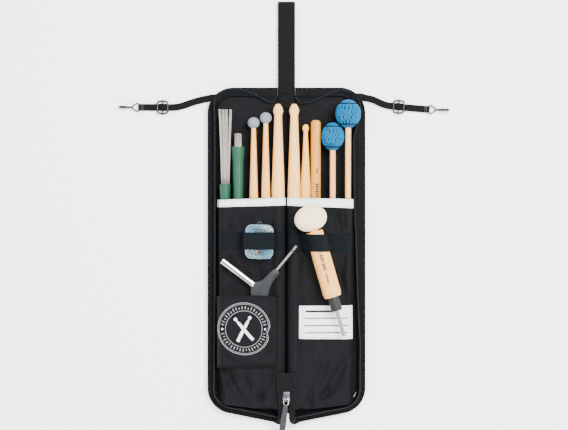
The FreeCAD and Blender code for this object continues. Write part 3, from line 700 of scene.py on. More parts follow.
def wall_rows(side):
    """For each point of the outline, the wall's section from its foot to its bound edge."""
    height = bpy.context.scene.bag_sizes.wall * 1000
    leans = [lean(side, x, y) for x, y, _, _ in rim_points(side)]
    soft = np.convolve(np.pad(leans, 2, mode="edge"), np.ones(5) / 5, mode="valid")
    rows = []
    for (x, y, nx, ny), out in zip(rim_points(side), soft):
        cap = float(np.interp(abs(x), (96, 102.5), (TOP_WALL, height))) if y > TOP - CORNER else height
        rise = min(cap, math.sqrt(max(height ** 2 - out ** 2, 9.0)))
        row = []
        for t in np.linspace(0, 1, 7):
            across = out * t ** 1.6 - 0.7 + 0.5 * rough(x, y, 17, 4.0) * t
            row.append((x + nx * across, y + ny * across,
                        WALL_FOOT + rise * math.sin(t * math.pi / 2) ** 0.9))
        rows.append(row)
    return rows


def edges(side):
    """Side wall, piping, zip tape and teeth of one leaf."""
    word = "left" if side < 0 else "right"
    body = f"{word}_leaf"
    sizes = bpy.context.scene.bag_sizes
    rows = wall_rows(side)
    build(f"{word}_side_wall", skin(rows, 0.8), "facing", body, [f"{word}_gusset"])
    top = smooth_path([row[-1] for row in rows], 2)
    build(f"{word}_piping", sweep(top, circle(sizes.piping * 1000, 8)), "piping", body, [f"{word}_binding"])
    rim = rim_points(side)

    def on_tape(x, y, nx, ny, out, lift):
        return (x + nx * out, y + ny * out, TAPE_Z + lift + 0.5 * rough(x, y, 19, 7.0) * out / TAPE_WIDE)

    across = (-1.8, 2.5, 5, 7, 8.4, 9.6, 10.9)
    tape = [[on_tape(*spot, out, -0.25 * (out > 9)) for out in across] for spot in rim]
    if side > 0:
        tape = [row[::-1] for row in tape]
    build(f"{word}_zip_tape", skin(tape, 0.9), "tape", body, [f"{word}_zip_chain"])
    for row, out in (("inner", 2.6), ("outer", 6.6)):
        stitches(f"{word}_tape_stitches_{row}", [on_tape(*spot, out, 0.1) for spot in rim], "piping", body,
                 3.4, 1.9, 0.24)
    line = even([on_tape(*spot, TEETH_OUT, 0.7) for spot in rim], sizes.tooth_gap * 1000 / 4)
    swell = [(0.55, 0.9, 1.0, 0.9)[i % 4] for i in range(len(line))]
    shape = sweep(line, [(s, t * 0.8) for s, t in circle(1.25, 8)], scales=swell)
    build(f"{word}_zip_teeth", shape, "webbing", body, ())


def even(points, gap):
    """The same line with points at even distances."""
    pts = np.array([tuple(p) for p in points])
    along = np.concatenate([[0], np.cumsum(np.linalg.norm(np.diff(pts, axis=0), axis=1))])
    wanted = np.arange(0, along[-1], gap)
    return [Vector([np.interp(w, along, pts[:, k]) for k in range(3)]) for w in wanted]


def shell():
    """Outer cover with its foam, and the lining, across the fold."""
    xs = HALF * np.sin(np.linspace(-math.pi / 2, math.pi / 2, 91))

    def span(x):
        a = abs(x) - (HALF - CORNER)
        drop = CORNER - math.sqrt(max(CORNER ** 2 - a * a, 0)) if a > 0 else 0
        foot = foot_edge(x) + drop + (4.5 * math.exp(-(x / 7) ** 2))
        return foot, TOP - drop

    over, under, liner = [], [], []
    for x in xs:
        foot, top = span(x)
        top_row, low_row, liner_row = [], [], []
        for t in 0.5 - 0.5 * np.cos(np.linspace(0, math.pi, 121)):
            y = foot + (top - foot) * t
            d = max(0.0, min(HALF - abs(x), y - foot, top - y))
            ease = 1 - math.sqrt(max(0.0, 1 - (1 - min(d / 2.4, 1)) ** 2))
            dent = 0.25 * math.exp(-((d - 7) / 1.2) ** 2)
            top_row.append((x, y, 5.3 - 2.3 * ease))
            low_row.append((x, y, max(0.0, 0.25 + 0.3 * rough(x, y, 40, 2)) + 2.3 * ease + dent))
            wave = 0.55 * rough(x, y, 28, 6) + 0.2 * rough(x, y, 9, 7)
            liner_row.append((x * 0.99, y * 0.99, 5.75 + 0.15 * wave))
        over.append(top_row)
        under.append(low_row)
        liner.append(liner_row)
    verts = [p for rows in (over, under) for row in rows for p in row]
    columns, length = len(xs), 121
    faces = grid_faces(columns, length, 0, flip=True) + grid_faces(columns, length, columns * length)
    border = ([(i, 0) for i in range(columns)]
              + [(columns - 1, j) for j in range(1, length)]
              + [(i, length - 1) for i in range(columns - 2, -1, -1)]
              + [(0, j) for j in range(length - 2, 0, -1)])
    index = [i * length + j for i, j in border]
    shift = columns * length
    for a, b in zip(index, index[1:] + index[:1]):
        faces.append((a, a + shift, b + shift, b))
    cover = build("outer_shell", (verts, faces), "cloth", None,
                  [f"{w}_{n}" for w in ("left", "right") for n in ("outer_cover", "foam_pad")])
    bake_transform(cover)
    lining = build("lining", skin(liner, 0.4), "cloth", None, ["left_lining", "right_lining"])
    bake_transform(lining)


# ---------------------------------------------------------------- pockets, label and elastics


def edge_ease(x, y):
    """0 at the accessory pocket's sewn edges, 1 well inside."""
    d = min((x + 99.5) / 15, (-10.8 - x) / 10, (y + 166) / 15)
    d = max(0.0, min(1.0, d))
    return 1 - (1 - d) ** 2.4


ACCESSORY_FOLDS = [((-14, -92), (-30, -158), 3.2, 1.0), ((-96, -142), (-68, -164), 5, 1.2),
                   ((-16, -120), (-24, -150), 4, 0.7), ((-98, -84), (-88, -130), 5, 0.7),
                   ((-26, -66), (-22, -100), 4, 0.6)]


def accessory_z(x, y):
    rise = 11.9 * edge_ease(x, y)
    rise += (0.35 * rough(x, y, 24, 9) - 3.0 * folds(x, y, ACCESSORY_FOLDS, 5)) * edge_ease(x, y)
    return plane(y) + max(rise, 0.0) + 0.2


def accessory_pocket():
    grid = []
    for x in np.linspace(-99.5, -10.8, 100):
        mouth = -62.6 - 1.6 * ((x + 55) / 45) ** 2
        grid.append([(x, y, accessory_z(x, y)) for y in np.linspace(-166, mouth, 100)])
    build("accessory_pocket_cloth", skin(grid, 0.7), "cloth", "left_leaf", ["accessory_pocket"])
    mouth = [Vector(row[-1]) + Vector((0, 0, -0.1)) for row in grid]
    build("accessory_pocket_hem", sweep(mouth, circle(1.15, 8)), "cloth", "left_leaf", ())
    right = [Vector(p) + Vector((0.3, 0, 0.4)) for p in grid[-2]]
    build("accessory_pocket_piping", sweep(right, circle(0.65, 8)), "piping", "left_leaf", ())
    for name, line in (("accessory_hem_stitches", [Vector(r[-4]) for r in grid[4:-4]]),
                       ("accessory_side_stitches", [Vector(p) for p in grid[-5][3:-3]])):
        stitches(name, [p + Vector((0, 0, 0.1)) for p in line], "piping", "left_leaf")


def printed(strips, height, lift):
    """Print on cloth: strips of (x, y) rows laid on a height."""
    parts = []
    for rows in strips:
        grid = [[(x, y, height(x, y) + lift) for x, y in row] for row in rows]
        parts.append(skin(grid, 0.35))
    return combine(parts)


def band(cx, cy, inner, outer, count=120):
    """A ring, as strips."""
    radii = (outer, (inner + outer) / 2, inner)
    rows = []
    for k in range(count + 1):
        a = 2 * math.pi * k / count
        rows.append([(cx + r * math.cos(a), cy + r * math.sin(a)) for r in radii])
    return rows


def bar(x0, y0, x1, y1, wide0, wide1=None, count=24):
    """A straight bar from point to point, as strips."""
    wide1 = wide0 if wide1 is None else wide1
    way = Vector((x1 - x0, y1 - y0)).normalized()
    rows = []
    for k in range(count + 1):
        t = k / count
        w = (wide0 + (wide1 - wide0) * t) / 2
        x, y = x0 + (x1 - x0) * t, y0 + (y1 - y0) * t
        rows.append([(x - way.y * w, y + way.x * w), (x, y), (x + way.y * w, y - way.x * w)])
    return rows


EMBLEM = (-60.8, -109.5)


def rumple(rows):
    """Shifts print sideways where the cloth under it is folded."""
    moved = []
    for row in rows:
        line = []
        for x, y in row:
            low = max(0.0, (EMBLEM[1] - 4 - y) / 34)
            pinch = math.exp(-((x + 24) / 6) ** 2 - ((y + 115) / 6) ** 2)
            line.append((x + 1.8 * low - 3.6 * pinch, y + 1.2 * low * low))
        moved.append(line)
    return moved


def emblem():
    cx, cy = EMBLEM
    strips = [band(cx, cy, 37.1, 37.9), band(cx, cy, 35.3, 35.8), band(cx, cy, 25.8, 26.5)]
    middle = []
    for k in range(44):
        a = 2 * math.pi * (k + 0.5) / 44
        if abs(math.sin(a)) > 0.16:
            reach = 33.0 if k % 3 else 31.4
            strips.append(bar(cx + 28.6 * math.cos(a), cy + 28.6 * math.sin(a),
                              cx + reach * math.cos(a), cy + reach * math.sin(a), 1.25, count=4))
    for turn in (-1, 1):
        a = math.radians(96 + 34 * turn)
        dx, dy = math.cos(a), math.sin(a)
        middle.append(bar(cx - 20 * dx, cy - 20 * dy, cx + 10 * dx, cy + 10 * dy, 4.6, 4.2))
        middle.append(bar(cx + 10 * dx, cy + 10 * dy, cx + 16.6 * dx, cy + 16.6 * dy, 4.2, 1.7, 8))
        middle.append(band(cx + 18.4 * dx, cy + 18.4 * dy, 0.05, 2.4, count=16))
        middle.append(band(cx + 30.8 * turn, cy, 0.05, 1.5, count=16))
    for name, parts, look in (("pocket_emblem", strips, "print"), ("pocket_emblem_middle", middle, "white")):
        shape = printed([rumple(rows) for rows in parts], accessory_z, 0.32)
        build(name, shape, look, "left_leaf", ())


LABEL_LOW, LABEL_HIGH = (18.4, -125.0), (95.0, -76.8)


def label():
    (x0, y0), (x1, y1) = LABEL_LOW, LABEL_HIGH

    def height(x, y):
        return cloth_z(x, y, 1)

    corners = [(x0, y0 + 0.6), (x1, y0), (x1 - 0.4, y1), (x0 + 0.2, y1 - 0.4)]
    patch("name_label", corners, 0.9, "label", 1, "right_leaf", ["id_label"], (60, 40), 0.5)
    strips = [bar(27, -85.2, 66, -84.9, 2.8)]
    strips += [bar(26, y, 88.5, y + 0.3, 1.3, count=40) for y in (-95.0, -105.4, -115.8)]
    build("label_lines", printed(strips, height, 1.15), "ink", "right_leaf")
    inner = [(x0 + 1.8, y0 + 2.2), (x1 - 1.8, y0 + 1.8), (x1 - 2.0, y1 - 1.8), (x0 + 2, y1 - 2.2)]
    line = []
    for a, b in zip(inner, inner[1:] + inner[:1]):
        line += [on_pocket(a[0] + (b[0] - a[0]) * t, a[1] + (b[1] - a[1]) * t, 1, 1.1)
                 for t in np.linspace(0, 1, 24)]
    stitches("label_stitches", line, "print", "right_leaf", 2.4, 1.6, 0.18)


def pocket_mouths():
    """White bindings over the pockets' mouths, each with two rows of stitches."""
    for side, word, corners in ((-1, "left", [(-99.6, 64.2), (-0.8, 66.6), (-0.8, 77.9), (-99.6, 74.6)]),
                                (1, "right", [(1.2, 66.4), (96.4, 62.6), (96.4, 75.7), (1.2, 77.4)])):
        body = f"{word}_leaf"
        patch(f"{word}_mouth_binding", corners, 0.75, "white", side, body, [f"{word}_pocket_binding"],
              (110, 10), 0.9)
        for row, share in (("lower", 0.13), ("upper", 0.86)):
            a, b, c, d = (Vector(p) for p in corners)
            line = []
            for u in np.linspace(0.01, 0.99, 80):
                p = a.lerp(b, u).lerp(d.lerp(c, u), share)
                line.append(on_pocket(p.x, p.y, side, 0.8))
            stitches(f"{word}_mouth_stitches_{row}", line, "print", body, 2.6, 1.9, 0.2)
    seam = [on_pocket(-89.2, y, -1, 0.8) for y in np.linspace(65, 74.8, 8)]
    build("left_mouth_seam", sweep(seam, circle(0.32, 6)), "piping", "left_leaf")


def hull(points):
    """The upper outline of a set of (x, z) points, as a taut band would follow it."""
    line = []
    for p in sorted(points):
        while len(line) > 1 and ((line[-1][0] - line[-2][0]) * (p[1] - line[-2][1])
                                 >= (line[-1][1] - line[-2][1]) * (p[0] - line[-2][0])):
            line.pop()
        line.append(p)
    return [p[0] for p in line], [p[1] for p in line]


def elastic(word, side, low_y, high_y, ends, rise):
    """A band that hugs the cloth and is lifted over the points (x, z) that rise(y) gives."""
    grid = []
    ys = np.linspace(low_y, high_y, 17)
    rows = {y: hull(rise(y)) for y in ys}
    for x in np.linspace(*ends, 191):
        column = []
        for y in ys:
            z = cloth_z(x, y, side) + 1.1
            xs, zs = rows[y]
            if xs[0] <= x <= xs[-1]:
                z = max(z, float(np.interp(x, xs, zs)))
            column.append((x, y, z))
        grid.append(column)
    build(f"{word}_elastic_band", skin(grid, 1.0), "elastic", f"{word}_leaf", [f"{word}_elastic"])
    return grid


CASE_EDGE = (-61.2, -16.8)


def case_rise(y):
    low = plane(y) - 1.2
    return [(-63.6, low), (CASE_EDGE[0], 47.2), (-58.5, 48.3), (-39, 48.55), (-19.5, 48.3),
            (CASE_EDGE[1], 47.2), (-14.6, low)]


def grip_rise(y):
    t = (48 - y) / 0.9603
    x, z = 34 + t * 0.276, 47.5 - t * 0.046
    r = 12.1 + (t - 19.6) * 0.0125 + 1.7
    points = [(x + r * math.sin(a), z + r * math.cos(a)) for a in np.linspace(-1.9, 1.9, 61)]
    return [(x - 24.4, plane(y) - 0.6), (x + 18.5, plane(y) - 1.4)] + points


def elastics():
    left = elastic("left", -1, 4.0, 28.2, (-98.5, -1.6), case_rise)
    right = elastic("right", 1, 1.0, 25.6, (1.6, 96.6), grip_rise)
    for word, grid, places in (("left", left, (-97, -64.4, -13.8, -3.6)),
                               ("right", right, (4, 15.5, 62.5, 96))):
        for count, x in enumerate(places):
            column = min(grid, key=lambda c: abs(c[0][0] - x))
            line = [Vector(p) + Vector((0, 0, 0.1)) for p in column]
            stitches(f"{word}_elastic_stitches_{count + 1}", line, "piping", f"{word}_leaf", 2.2, 1.4, 0.26)


# ---------------------------------------------------------------- straps


def hang_strap():
    low, high, end = 1.2, 6.6, 361.2
    strap = [(0, 227.0, low), (0, 260, low - 0.1), (0, 320, low), (0, 352, low + 0.1),
             (0, 358.5, low + 0.8), (0, end, 3.9), (0, 358.5, high - 0.6), (0, 352, high), (0, 320, high),
             (0, 260, high + 0.1), (0, 227.0, high)]
    shape = sweep(smooth_path(strap, 8), flat_section(25, 1.15), fixed_side=(1, 0, 0))
    build("hanging_loop", shape, "webbing", "hang_strap", ["hang_strap"])
    root = [(0, y, 6.9 + 0.8 * math.sin((y - 206) / 20 * math.pi)) for y in np.linspace(206, 226.9, 14)]
    build("hanging_loop_root", sweep(root, flat_section(25, 1.2)), "webbing", "left_leaf",
          ["hang_strap_anchor"])
    for name, y, z, body in (("loop_stitches_upper", 230.5, 7.3, "hang_strap"),
                             ("loop_stitches_lower", 217, 8.3, "left_leaf"),
                             ("loop_stitches_root", 208.5, 7.9, "left_leaf")):
        stitches(name, [(x, y, z) for x in np.linspace(-11, 11, 12)], "thread", body, 2.2, 1.5, 0.25)


STRAP_WIDTH = 10.0
TOM_PATHS = {
    "left": [(-110.4, 222.1, 3.2), (-116, 221.2, 3.2), (-135, 216.5, 3.2), (-148, 211.6, 3.2),
             (-160, 208.6, 3.0), (-179, 208.4, 3.0), (-198, 208.8, 3.0), (-213.2, 208.8, 3.0)],
    "right": [(110.4, 222.8, 3.2), (114, 222.4, 3.2), (124, 220.6, 3.2), (134, 215.6, 3.2),
              (146, 211.0, 3.0), (162, 209.4, 3.0), (186, 207.3, 3.0), (205.7, 205.6, 3.0)],
}
GLIDES = {"left": ((-179.3, 208.7), (-1, 0.0037)), "right": ((162.2, 209.5), (1, -0.08))}


def route(points):
    """The smooth line of a free strap, with the points as its control points."""
    data = bpy.data.curves.new("route", "CURVE")
    data.dimensions = "3D"
    spline = data.splines.new("NURBS")
    spline.points.add(len(points) - 1)
    for knot, point in zip(spline.points, points):
        knot.co = (*point, 1)
    spline.order_u = 3
    spline.use_endpoint_u = True
    spline.resolution_u = 8
    holder = bpy.data.objects.new("route", data)
    line = [vertex.co.copy() for vertex in bpy.data.meshes.new_from_object(holder).vertices]
    bpy.data.objects.remove(holder)
    return line


def tom_straps():
    for word, points in TOM_PATHS.items():
        path = route(points)
        build(f"{word}_drum_strap", sweep(path, flat_section(STRAP_WIDTH, 1.1)), "webbing",
              f"{word}_tom_strap", [f"{word}_tom_strap"])
        (x, y), way = GLIDES[word]
        way = Vector((*way, 0)).normalized()
        hump = []
        for t in np.linspace(-1, 1, 15):
            hump.append(Vector((x, y, 3.95 + 1.75 * math.cos(t * math.pi / 2) ** 1.4)) + way * (t * 5.4))
        build(f"{word}_glide_fold", sweep(hump, flat_section(10.4, 0.9)), "webbing", f"{word}_tom_glide")
        end = path[-1] - way * 5.4
        for row, across in (("a", 0.0), ("b", 2.6)):
            spot = end + way * across
            side = way.cross(UP)
            line = [spot + side * s + Vector((0, 0, 0.55)) for s in np.linspace(-4, 4, 5)]
            stitches(f"{word}_strap_stitches_{row}", line, "print", f"{word}_tom_strap", 1.8, 1.2, 0.16)
        root = Vector(points[1]) + Vector((0, 0, 0.55))
        line = [root + Vector((0, s, 0)) for s in np.linspace(-4, 4, 5)]
        stitches(f"{word}_strap_stitches_root", line, "piping", f"{word}_tom_strap", 1.8, 1.2, 0.16)


# ---------------------------------------------------------------- sticks and tools


def dress(node, look):
    """A better finish on a rigid piece of the frame."""
    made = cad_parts[node]
    made.data.materials.clear()
    made.data.materials.append(MATERIALS[look])
    made.data.polygons.foreach_set("material_index", [0] * len(made.data.polygons))


def sticks():
    for node, look in (("stick_a", "birch"), ("stick_a_tip", "grey"), ("stick_b", "birch"),
                       ("stick_b_tip", "grey"), ("stick_c", "maple"), ("stick_d", "maple"),
                       ("stick_e", "hickory"), ("stick_f", "stained")):
        dress(node, look)


HEADS = (("mallet_1", 66.3, 165.3, 16.6, 0.038, -219.0), ("mallet_2", 88.1, 197.6, 18.3, 0.0479, -185.0))


def mallet_heads():
    for body, x, y, radius, tilt, butt in HEADS:
        z = 10 + RISE * (butt - STICK_FOOT) + (y - butt) * tilt
        where = aim(x, y, z, (0, 1, tilt))
        long = 20.4
        core = [(radius * 0.9 * math.sqrt(max(0.0, 1 - (t * t))), long * 0.93 * t)
                for t in np.sin(np.linspace(-math.pi / 2, math.pi / 2, 25))]
        # The core shows through the gaps between the strands; its darker colour is painted shade in those
        # gaps.
        build(f"{body}_head_core_painted_shade", lathe(core, where, 32), "yarn_gap_shade", body, [f"{body}_head"])
        strands = []
        count = 34
        for k in range(count):
            for layer in (0, 1):
                start = 2 * math.pi * (k + 0.5 * layer) / count + 0.03 * math.sin(k * 7.3)
                twist = (0.34 if layer else -0.26) * (1 + 0.6 * math.sin(k * 3.1))
                line = []
                for t in np.linspace(-1, 1, 19):
                    s = math.sin(t * math.pi / 2 * 0.93)
                    r = radius * math.sqrt(max(0.0, 1 - s * s)) - 0.75 - 0.25 * layer
                    tie = 1 - 0.075 * math.exp(-((abs(s) - 0.72) / 0.07) ** 2)
                    r *= tie
                    a = start + twist * math.sin(t * math.pi) + 0.012 * math.sin(5 * t + k)
                    line.append(where @ Vector((r * math.cos(a), (long - 0.8) * s, r * math.sin(a))))
                strands.append(sweep(line, circle(0.95, 6)))
        build(f"{body}_yarn", combine(strands), "yarn", body, ())
        ties = []
        for s in (-0.72, 0.72):
            r = radius * math.sqrt(1 - s * s) * 0.945
            for k, shift in enumerate((-0.55, 0.3)):
                line = [where @ Vector(((r + 0.15) * math.cos(a),
                                        long * s + shift + 0.25 * math.sin(3 * a + k),
                                        (r + 0.15) * math.sin(a)))
                        for a in np.linspace(0, 2 * math.pi, 41)]
                ties.append(sweep(line, circle(0.5, 6), up=Vector((0, 1, 0))))
        build(f"{body}_thread_ties", combine(ties), "thread", body)
        dress(f"{body}_shaft", "birch")


def axis_height(low, high):
    """A function that gives the height of a rod's axis at y, from the corners of its box."""
    return lambda y: (low.z + high.z) * 500 + (y - (low.y + high.y) * 500) * RISE


def brushes():
    dress("brush_1_handle", "green")
    dress("brush_2_handle", "green")
    axis_z = axis_height(*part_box("brush_1_handle"))
    wires = []
    for k in range(36):
        bundle, strand = divmod(k, 9)
        line = []
        for t in np.linspace(0, 1, 9):
            y = 97.4 + 107.2 * t - 0.4 * (strand % 3)
            centre = (-6.9, -2.3, 2.1, 6.9)[bundle] * (0.62 + 0.56 * t) + 0.6 * math.sin(2.4 * t + bundle)
            x = -87.9 + centre + (strand - 4) * (0.33 + 0.05 * t)
            line.append((x, y, axis_z(y) + 1.5 * math.sin(strand * 2.4 + bundle) * (0.6 + 0.8 * t)))
        wires.append(sweep(line, circle(0.26, 5)))
    fan = build("brush_1_fan", combine(wires), "steel", "brush_1", ["brush_1_wires"])
    axis_z(97) * MM
    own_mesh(fan)
    mid = axis_height(*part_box("brush_2_wires"))
    tuft = []
    for k in range(60):
        r = 4.8 * math.sqrt((k + 0.5) / 60)
        a = k * GOLDEN_ANGLE
        line = []
        for t in np.linspace(0, 1, 5):
            y = 84 + (86.2 - 0.25 * r * r * 0.2) * t
            line.append((-69.6 + r * math.cos(a), y, mid(y) + r * math.sin(a)))
        tuft.append(sweep(line, circle(0.3, 5)))
    rod = [(-69.6, y, mid(y)) for y in (-25.9, 20, 86)]
    tuft.append(sweep(rod, circle(1.5, 12)))
    build("brush_2_tuft", combine(tuft), "steel", "brush_2_wires", ["brush_2_wires"])


def beater():
    for node, look in (("beater_handle", "birch"), ("beater_collar", "black"), ("beater_rod", "rod")):
        dress(node, look)
    where = aim(*BEATER_AT, BEATER_WAY)
    verts = []
    rings, count = 60, 96
    for i in range(rings + 1):
        s = math.sin((i / rings - 0.5) * math.pi)
        c = math.sqrt(max(0.0, 1 - s * s))
        for k in range(count):
            a = 2 * math.pi * k / count
            p = Vector((23.2 * c * math.cos(a), max(18.7 * s, -17.2), 15.7 * c * math.sin(a)))
            fuzz = 0.35 * noise.noise(p * 0.35) + 0.22 * noise.noise(p * 1.3)
            verts.append(tuple(where @ (p * (1 + fuzz / 20))))
    faces = grid_faces(rings + 1, count, close_columns=True, flip=True)
    build("felt_head", (verts, faces), "felt", "beater", ["beater_head"])


def rounded(wide, high, radius, cx=0.0, cy=0.0, count=7):
    """A rectangle with round corners, anticlockwise."""
    points = []
    for sx, sy, start in ((1, -1, -90), (1, 1, 0), (-1, 1, 90), (-1, -1, 180)):
        for a in np.linspace(math.radians(start), math.radians(start + 90), count):
            points.append((cx + sx * (wide / 2 - radius) + radius * math.cos(a),
                           cy + sy * (high / 2 - radius) + radius * math.sin(a)))
    return points


def loop(points, radius, where=Matrix(), count=10):
    """A closed wire through the points."""
    line = [where @ Vector(p) for p in points]
    return sweep(line + line[:2], circle(radius, count), up=where.to_3x3() @ UP)


def wire(points, radius, where=Matrix(), count=10, steps=6):
    """An open wire through the points, smoothly bent."""
    line = [where @ Vector(p) for p in smooth_path(points, steps)]
    return sweep(line, circle(radius, count), up=where.to_3x3() @ UP)


def tray(outline, low, high, thick, where):
    """A wall round an outline."""
    rows = []
    for x, y in outline + outline[:1]:
        rows.append([tuple(where @ Vector((x, y, z))) for z in (low, (low + high) / 2, high)])
    return skin(rows, thick)


def plug_case():
    where = aim(-38.8, 15.0, plane(15.0) + 0.8, (0.02, 1, RISE))
    outline = rounded(39.0, 47.4, 8.8)
    base = [plate(outline, 1.3, where, 0.6), tray(outline, 0.6, 10.0, 1.1, where),
            plate(rounded(7.5, 2.2, 0.9, 0, -24.7, 4), 7, where, 0.5)]
    eye = [(-4.2, 23.6, 1.5), (-1.6, 27.0, 1.5), (-0.9, 28.2, 1.5), (0.9, 28.2, 1.5), (1.6, 27.0, 1.5),
           (4.2, 23.6, 1.5)]
    base.append(wire(eye, 0.75, where, 8))
    build("case_base", combine(base), "clear", "plug_case", ["plug_case_base"])
    lid = [tray(outline, 10.02, 15.6, 1.1, where),
           plate(rounded(38.6, 47.0, 8.6), 1.2, where @ Matrix.Translation((0, 0, 15.0)), 0.6)]
    build("case_lid", combine(lid), "clear", "plug_case", ["plug_case_lid"])
    edge = [loop([(x, y, 15.9) for x, y in rounded(37.2, 45.6, 8.0)], 0.5, where, 6),
            loop([(x, y, 16.1) for x, y in rounded(32.2, 40.4, 6.0)], 0.4, where, 6),
            loop([(x, y, 10.0) for x, y in rounded(39.4, 47.8, 9.0)], 0.45, where, 6)]
    build("case_edges", combine(edge), "rim", "plug_case")
    dot = lathe([(0.01, 0), (1.1, 0), (1.1, 0.25), (0.01, 0.25)],
                where @ Matrix.Translation((-3.4, -13.6, 16.3)) @ Matrix.Rotation(math.pi / 2, 4, "X"), 16)
    build("case_dot", dot, "orange", "plug_case")
    marks = [wire([(-0.6, y, 16.4), (0.8, y + 0.5, 16.4), (2.2, y - 0.2, 16.4)], 0.4, where, 6, 4)
             for y in (-13.4, -15.2, -16.8)]
    build("case_marks", combine(marks), "ink", "plug_case")
    dress("earplugs", "plug")


KEY_EDGE = [(-50.6, -62), (-51.0, -55), (-50.2, -48.6), (-46.2, -43.4), (-41.5, -41.6), (-36.9, -40.4),
            (-32.2, -37.2), (-28, -33.0), (-24.8, -29.6), (-21.4, -26.6), (-17.2, -23.4), (-13.6, -25.6),
            (-10.2, -28.6), (-12.6, -33.6), (-16.6, -38.5), (-20.2, -43.8), (-22.9, -49.6), (-24.8, -56),
            (-26.0, -62), (-29.5, -80), (-31, -97.6), (-37.5, -98), (-44, -97.6), (-47, -80)]


def drum_key():
    where = aim(0, 0, plane(0) + 1.6, (0, 1, RISE))
    line = smooth_path([(x, y, 0) for x, y in KEY_EDGE + KEY_EDGE[:1]], 5)[:-1]
    shape = plate([(p.x, p.y) for p in line][::-1], 8, where, 1.3)
    build("key_grip", shape, "slate", "drum_key", ["drum_key_body"])
    for node in ("drum_key_socket", "drum_key_driver"):
        dress(node, "chrome")
    way = Vector((-0.789, 0.614, 0))
    tube = aim(-46.5, -46.5, plane(-46.5) + 1.6 + 4.8, way)
    collars = []
    for start, length, radius in ((0, 3.2, 5.1), (34, 2.2, 5.0), (54.6, 2.2, 5.05)):
        collars.append(lathe([(4.6, start), (radius, start + 0.4), (radius, start + length - 0.4),
                              (4.6, start + length)], tube, 28))
    build("key_collars", combine(collars), "chrome", "drum_key")
    driver = aim(-14, -25.1, plane(-25.1) + 1.6 + 4, (0.638, 0.770, 0))
    # A dark disc on the driver stands for the pin hole: painted shade, not a part of its own.
    pin_hole_shade = lathe([(0.01, 2.5), (1.3, 2.5), (1.3, 3.3), (0.01, 3.3)],
                driver @ Matrix.Translation((0, 35, 0)) @ Matrix.Rotation(math.pi / 2, 4, "X"), 12)
    build("key_pin_hole_shade", pin_hole_shade, "ink", "drum_key")


def glide(word):
    """A wire loop with a bar across."""
    (x, y), way = GLIDES[word]
    where = aim(x, y, 0, (*way, 0))
    parts = [loop([(a, b, 4.85) for a, b in rounded(17.6, 14.8, 3.4)], 1.3, where),
             wire([(-9.9, 0, 4.8), (-8.4, 0, 4.4), (-6.6, 0, 1.9), (-4, 0, 1.15), (4, 0, 1.15),
                   (6.6, 0, 1.9), (8.4, 0, 4.4), (9.9, 0, 4.8)], 0.9, where)]
    for side in (-1, 1):
        knob = where @ Matrix.Translation((side * 9.6, -1.7, 4.8))
        parts.append(lathe([(0.3, 0), (1.25, 0.4), (1.4, 1.7), (1.25, 3.0), (0.3, 3.4)], knob, 14))
    build(f"{word}_glide", combine(parts), "gunmetal", f"{word}_tom_glide", [f"{word}_tom_glide"])


HOOKS = {"left": ((-213.5, 208.8), (-1, 0.0037)), "right": ((206.0, 205.6), (1, -0.0266))}


def hook(word):
    (x, y), way = HOOKS[word]
    where = aim(x, y, 0, (*way, 0))
    ring = [(-5.2, 0.5), (0, 0.5), (5.2, 0.5), (6.2, 1.6), (5.6, 3.2), (2.6, 8.4), (1.2, 9.4), (-1.2, 9.4),
            (-2.6, 8.4), (-5.6, 3.2), (-6.2, 1.6)]
    parts = [loop([(a, b, 3.0) for a, b in ring], 1.0, where)]
    swivel = where @ Matrix.Translation((0, 8.6, 3.0))
    parts.append(lathe([(0.4, 0), (1.7, 0.5), (1.9, 1.6), (1.3, 2.4), (1.2, 4.2), (1.9, 5.0), (1.8, 6.2),
                        (0.4, 6.8)],
                       swivel, 18))
    nose = [(0, 14.4, 3.0), (0, 16.6, 7.2), (0, 20.5, 9.8), (0, 25.2, 8.6), (0, 28.0, 5.2), (0, 27.4, 2.2),
            (0, 24.0, 1.3)]
    body = [where @ Vector(p) for p in smooth_path(nose, 6)]
    girth = [0.75 + 0.85 * math.sin(math.pi * k / (len(body) - 1)) ** 0.8 for k in range(len(body))]
    parts.append(sweep(body, circle(1.25, 10), up=where.to_3x3() @ Vector((1, 0, 0)), scales=girth))
    gate = [(0, 14.6, 2.2), (0, 19, 1.5), (0, 24.6, 1.2)]
    leaf = [where @ Vector(p) for p in smooth_path(gate, 5)]
    parts.append(sweep(leaf, [(s * 0.4, t) for s, t in circle(1.7, 10)],
                       up=where.to_3x3() @ Vector((1, 0, 0))))
    build(f"{word}_hook", combine(parts), "gunmetal", f"{word}_tom_hook", [f"{word}_tom_hook"])


def strap_roots():
    for word, side, y in (("left", -1, 221.6), ("right", 1, 223.2)):
        points = [(94 * side, y - 0.6, 11.4), (99 * side, y, 12.2), (104 * side, y + 0.5, 11.2),
                  (108 * side, y + 0.5, 7.6), (111.6 * side, y + 0.2, 3.5)]
        shape = sweep(smooth_path(points, 6), flat_section(10, 1.1))
        build(f"{word}_strap_root", shape, "webbing", f"{word}_leaf", ())


def foot_tapes():
    """The ends of the zip's tapes, up from the foot of each leaf to the start of the zip."""
    for word, side in (("left", -1), ("right", 1)):
        points = [(9.2 * side, -176, 28.9), (8.4 * side, -197, 28.9), (7.6 * side, -212, 28.7),
                  (7.6 * side, -232, 28.0), (8.2 * side, -240, 26.2), (10.6 * side, -243.6, 21),
                  (13.6 * side, -243.4, 14.5), (18.5 * side, -241.2, 10.2)]
        shape = sweep(smooth_path(points, 7), flat_section(8.6, 1.1))
        made = build(f"{word}_foot_tape", shape, "tape", "left_leaf" if side < 0 else None,
                     ["zip_start_chain"] if side < 0 else ())
        if side > 0:
            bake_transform(made)
        inner = [(x - 3.6 * side * (y > -241), y, z + 0.5) for x, y, z in points[1:5]]
        line = even(smooth_path(inner, 8), 0.6)
        swell = [(0.6, 1.0)[k // 2 % 2] for k in range(len(line))]
        build(f"{word}_foot_teeth", sweep(line, circle(0.8, 6), scales=swell), "webbing", "left_leaf")


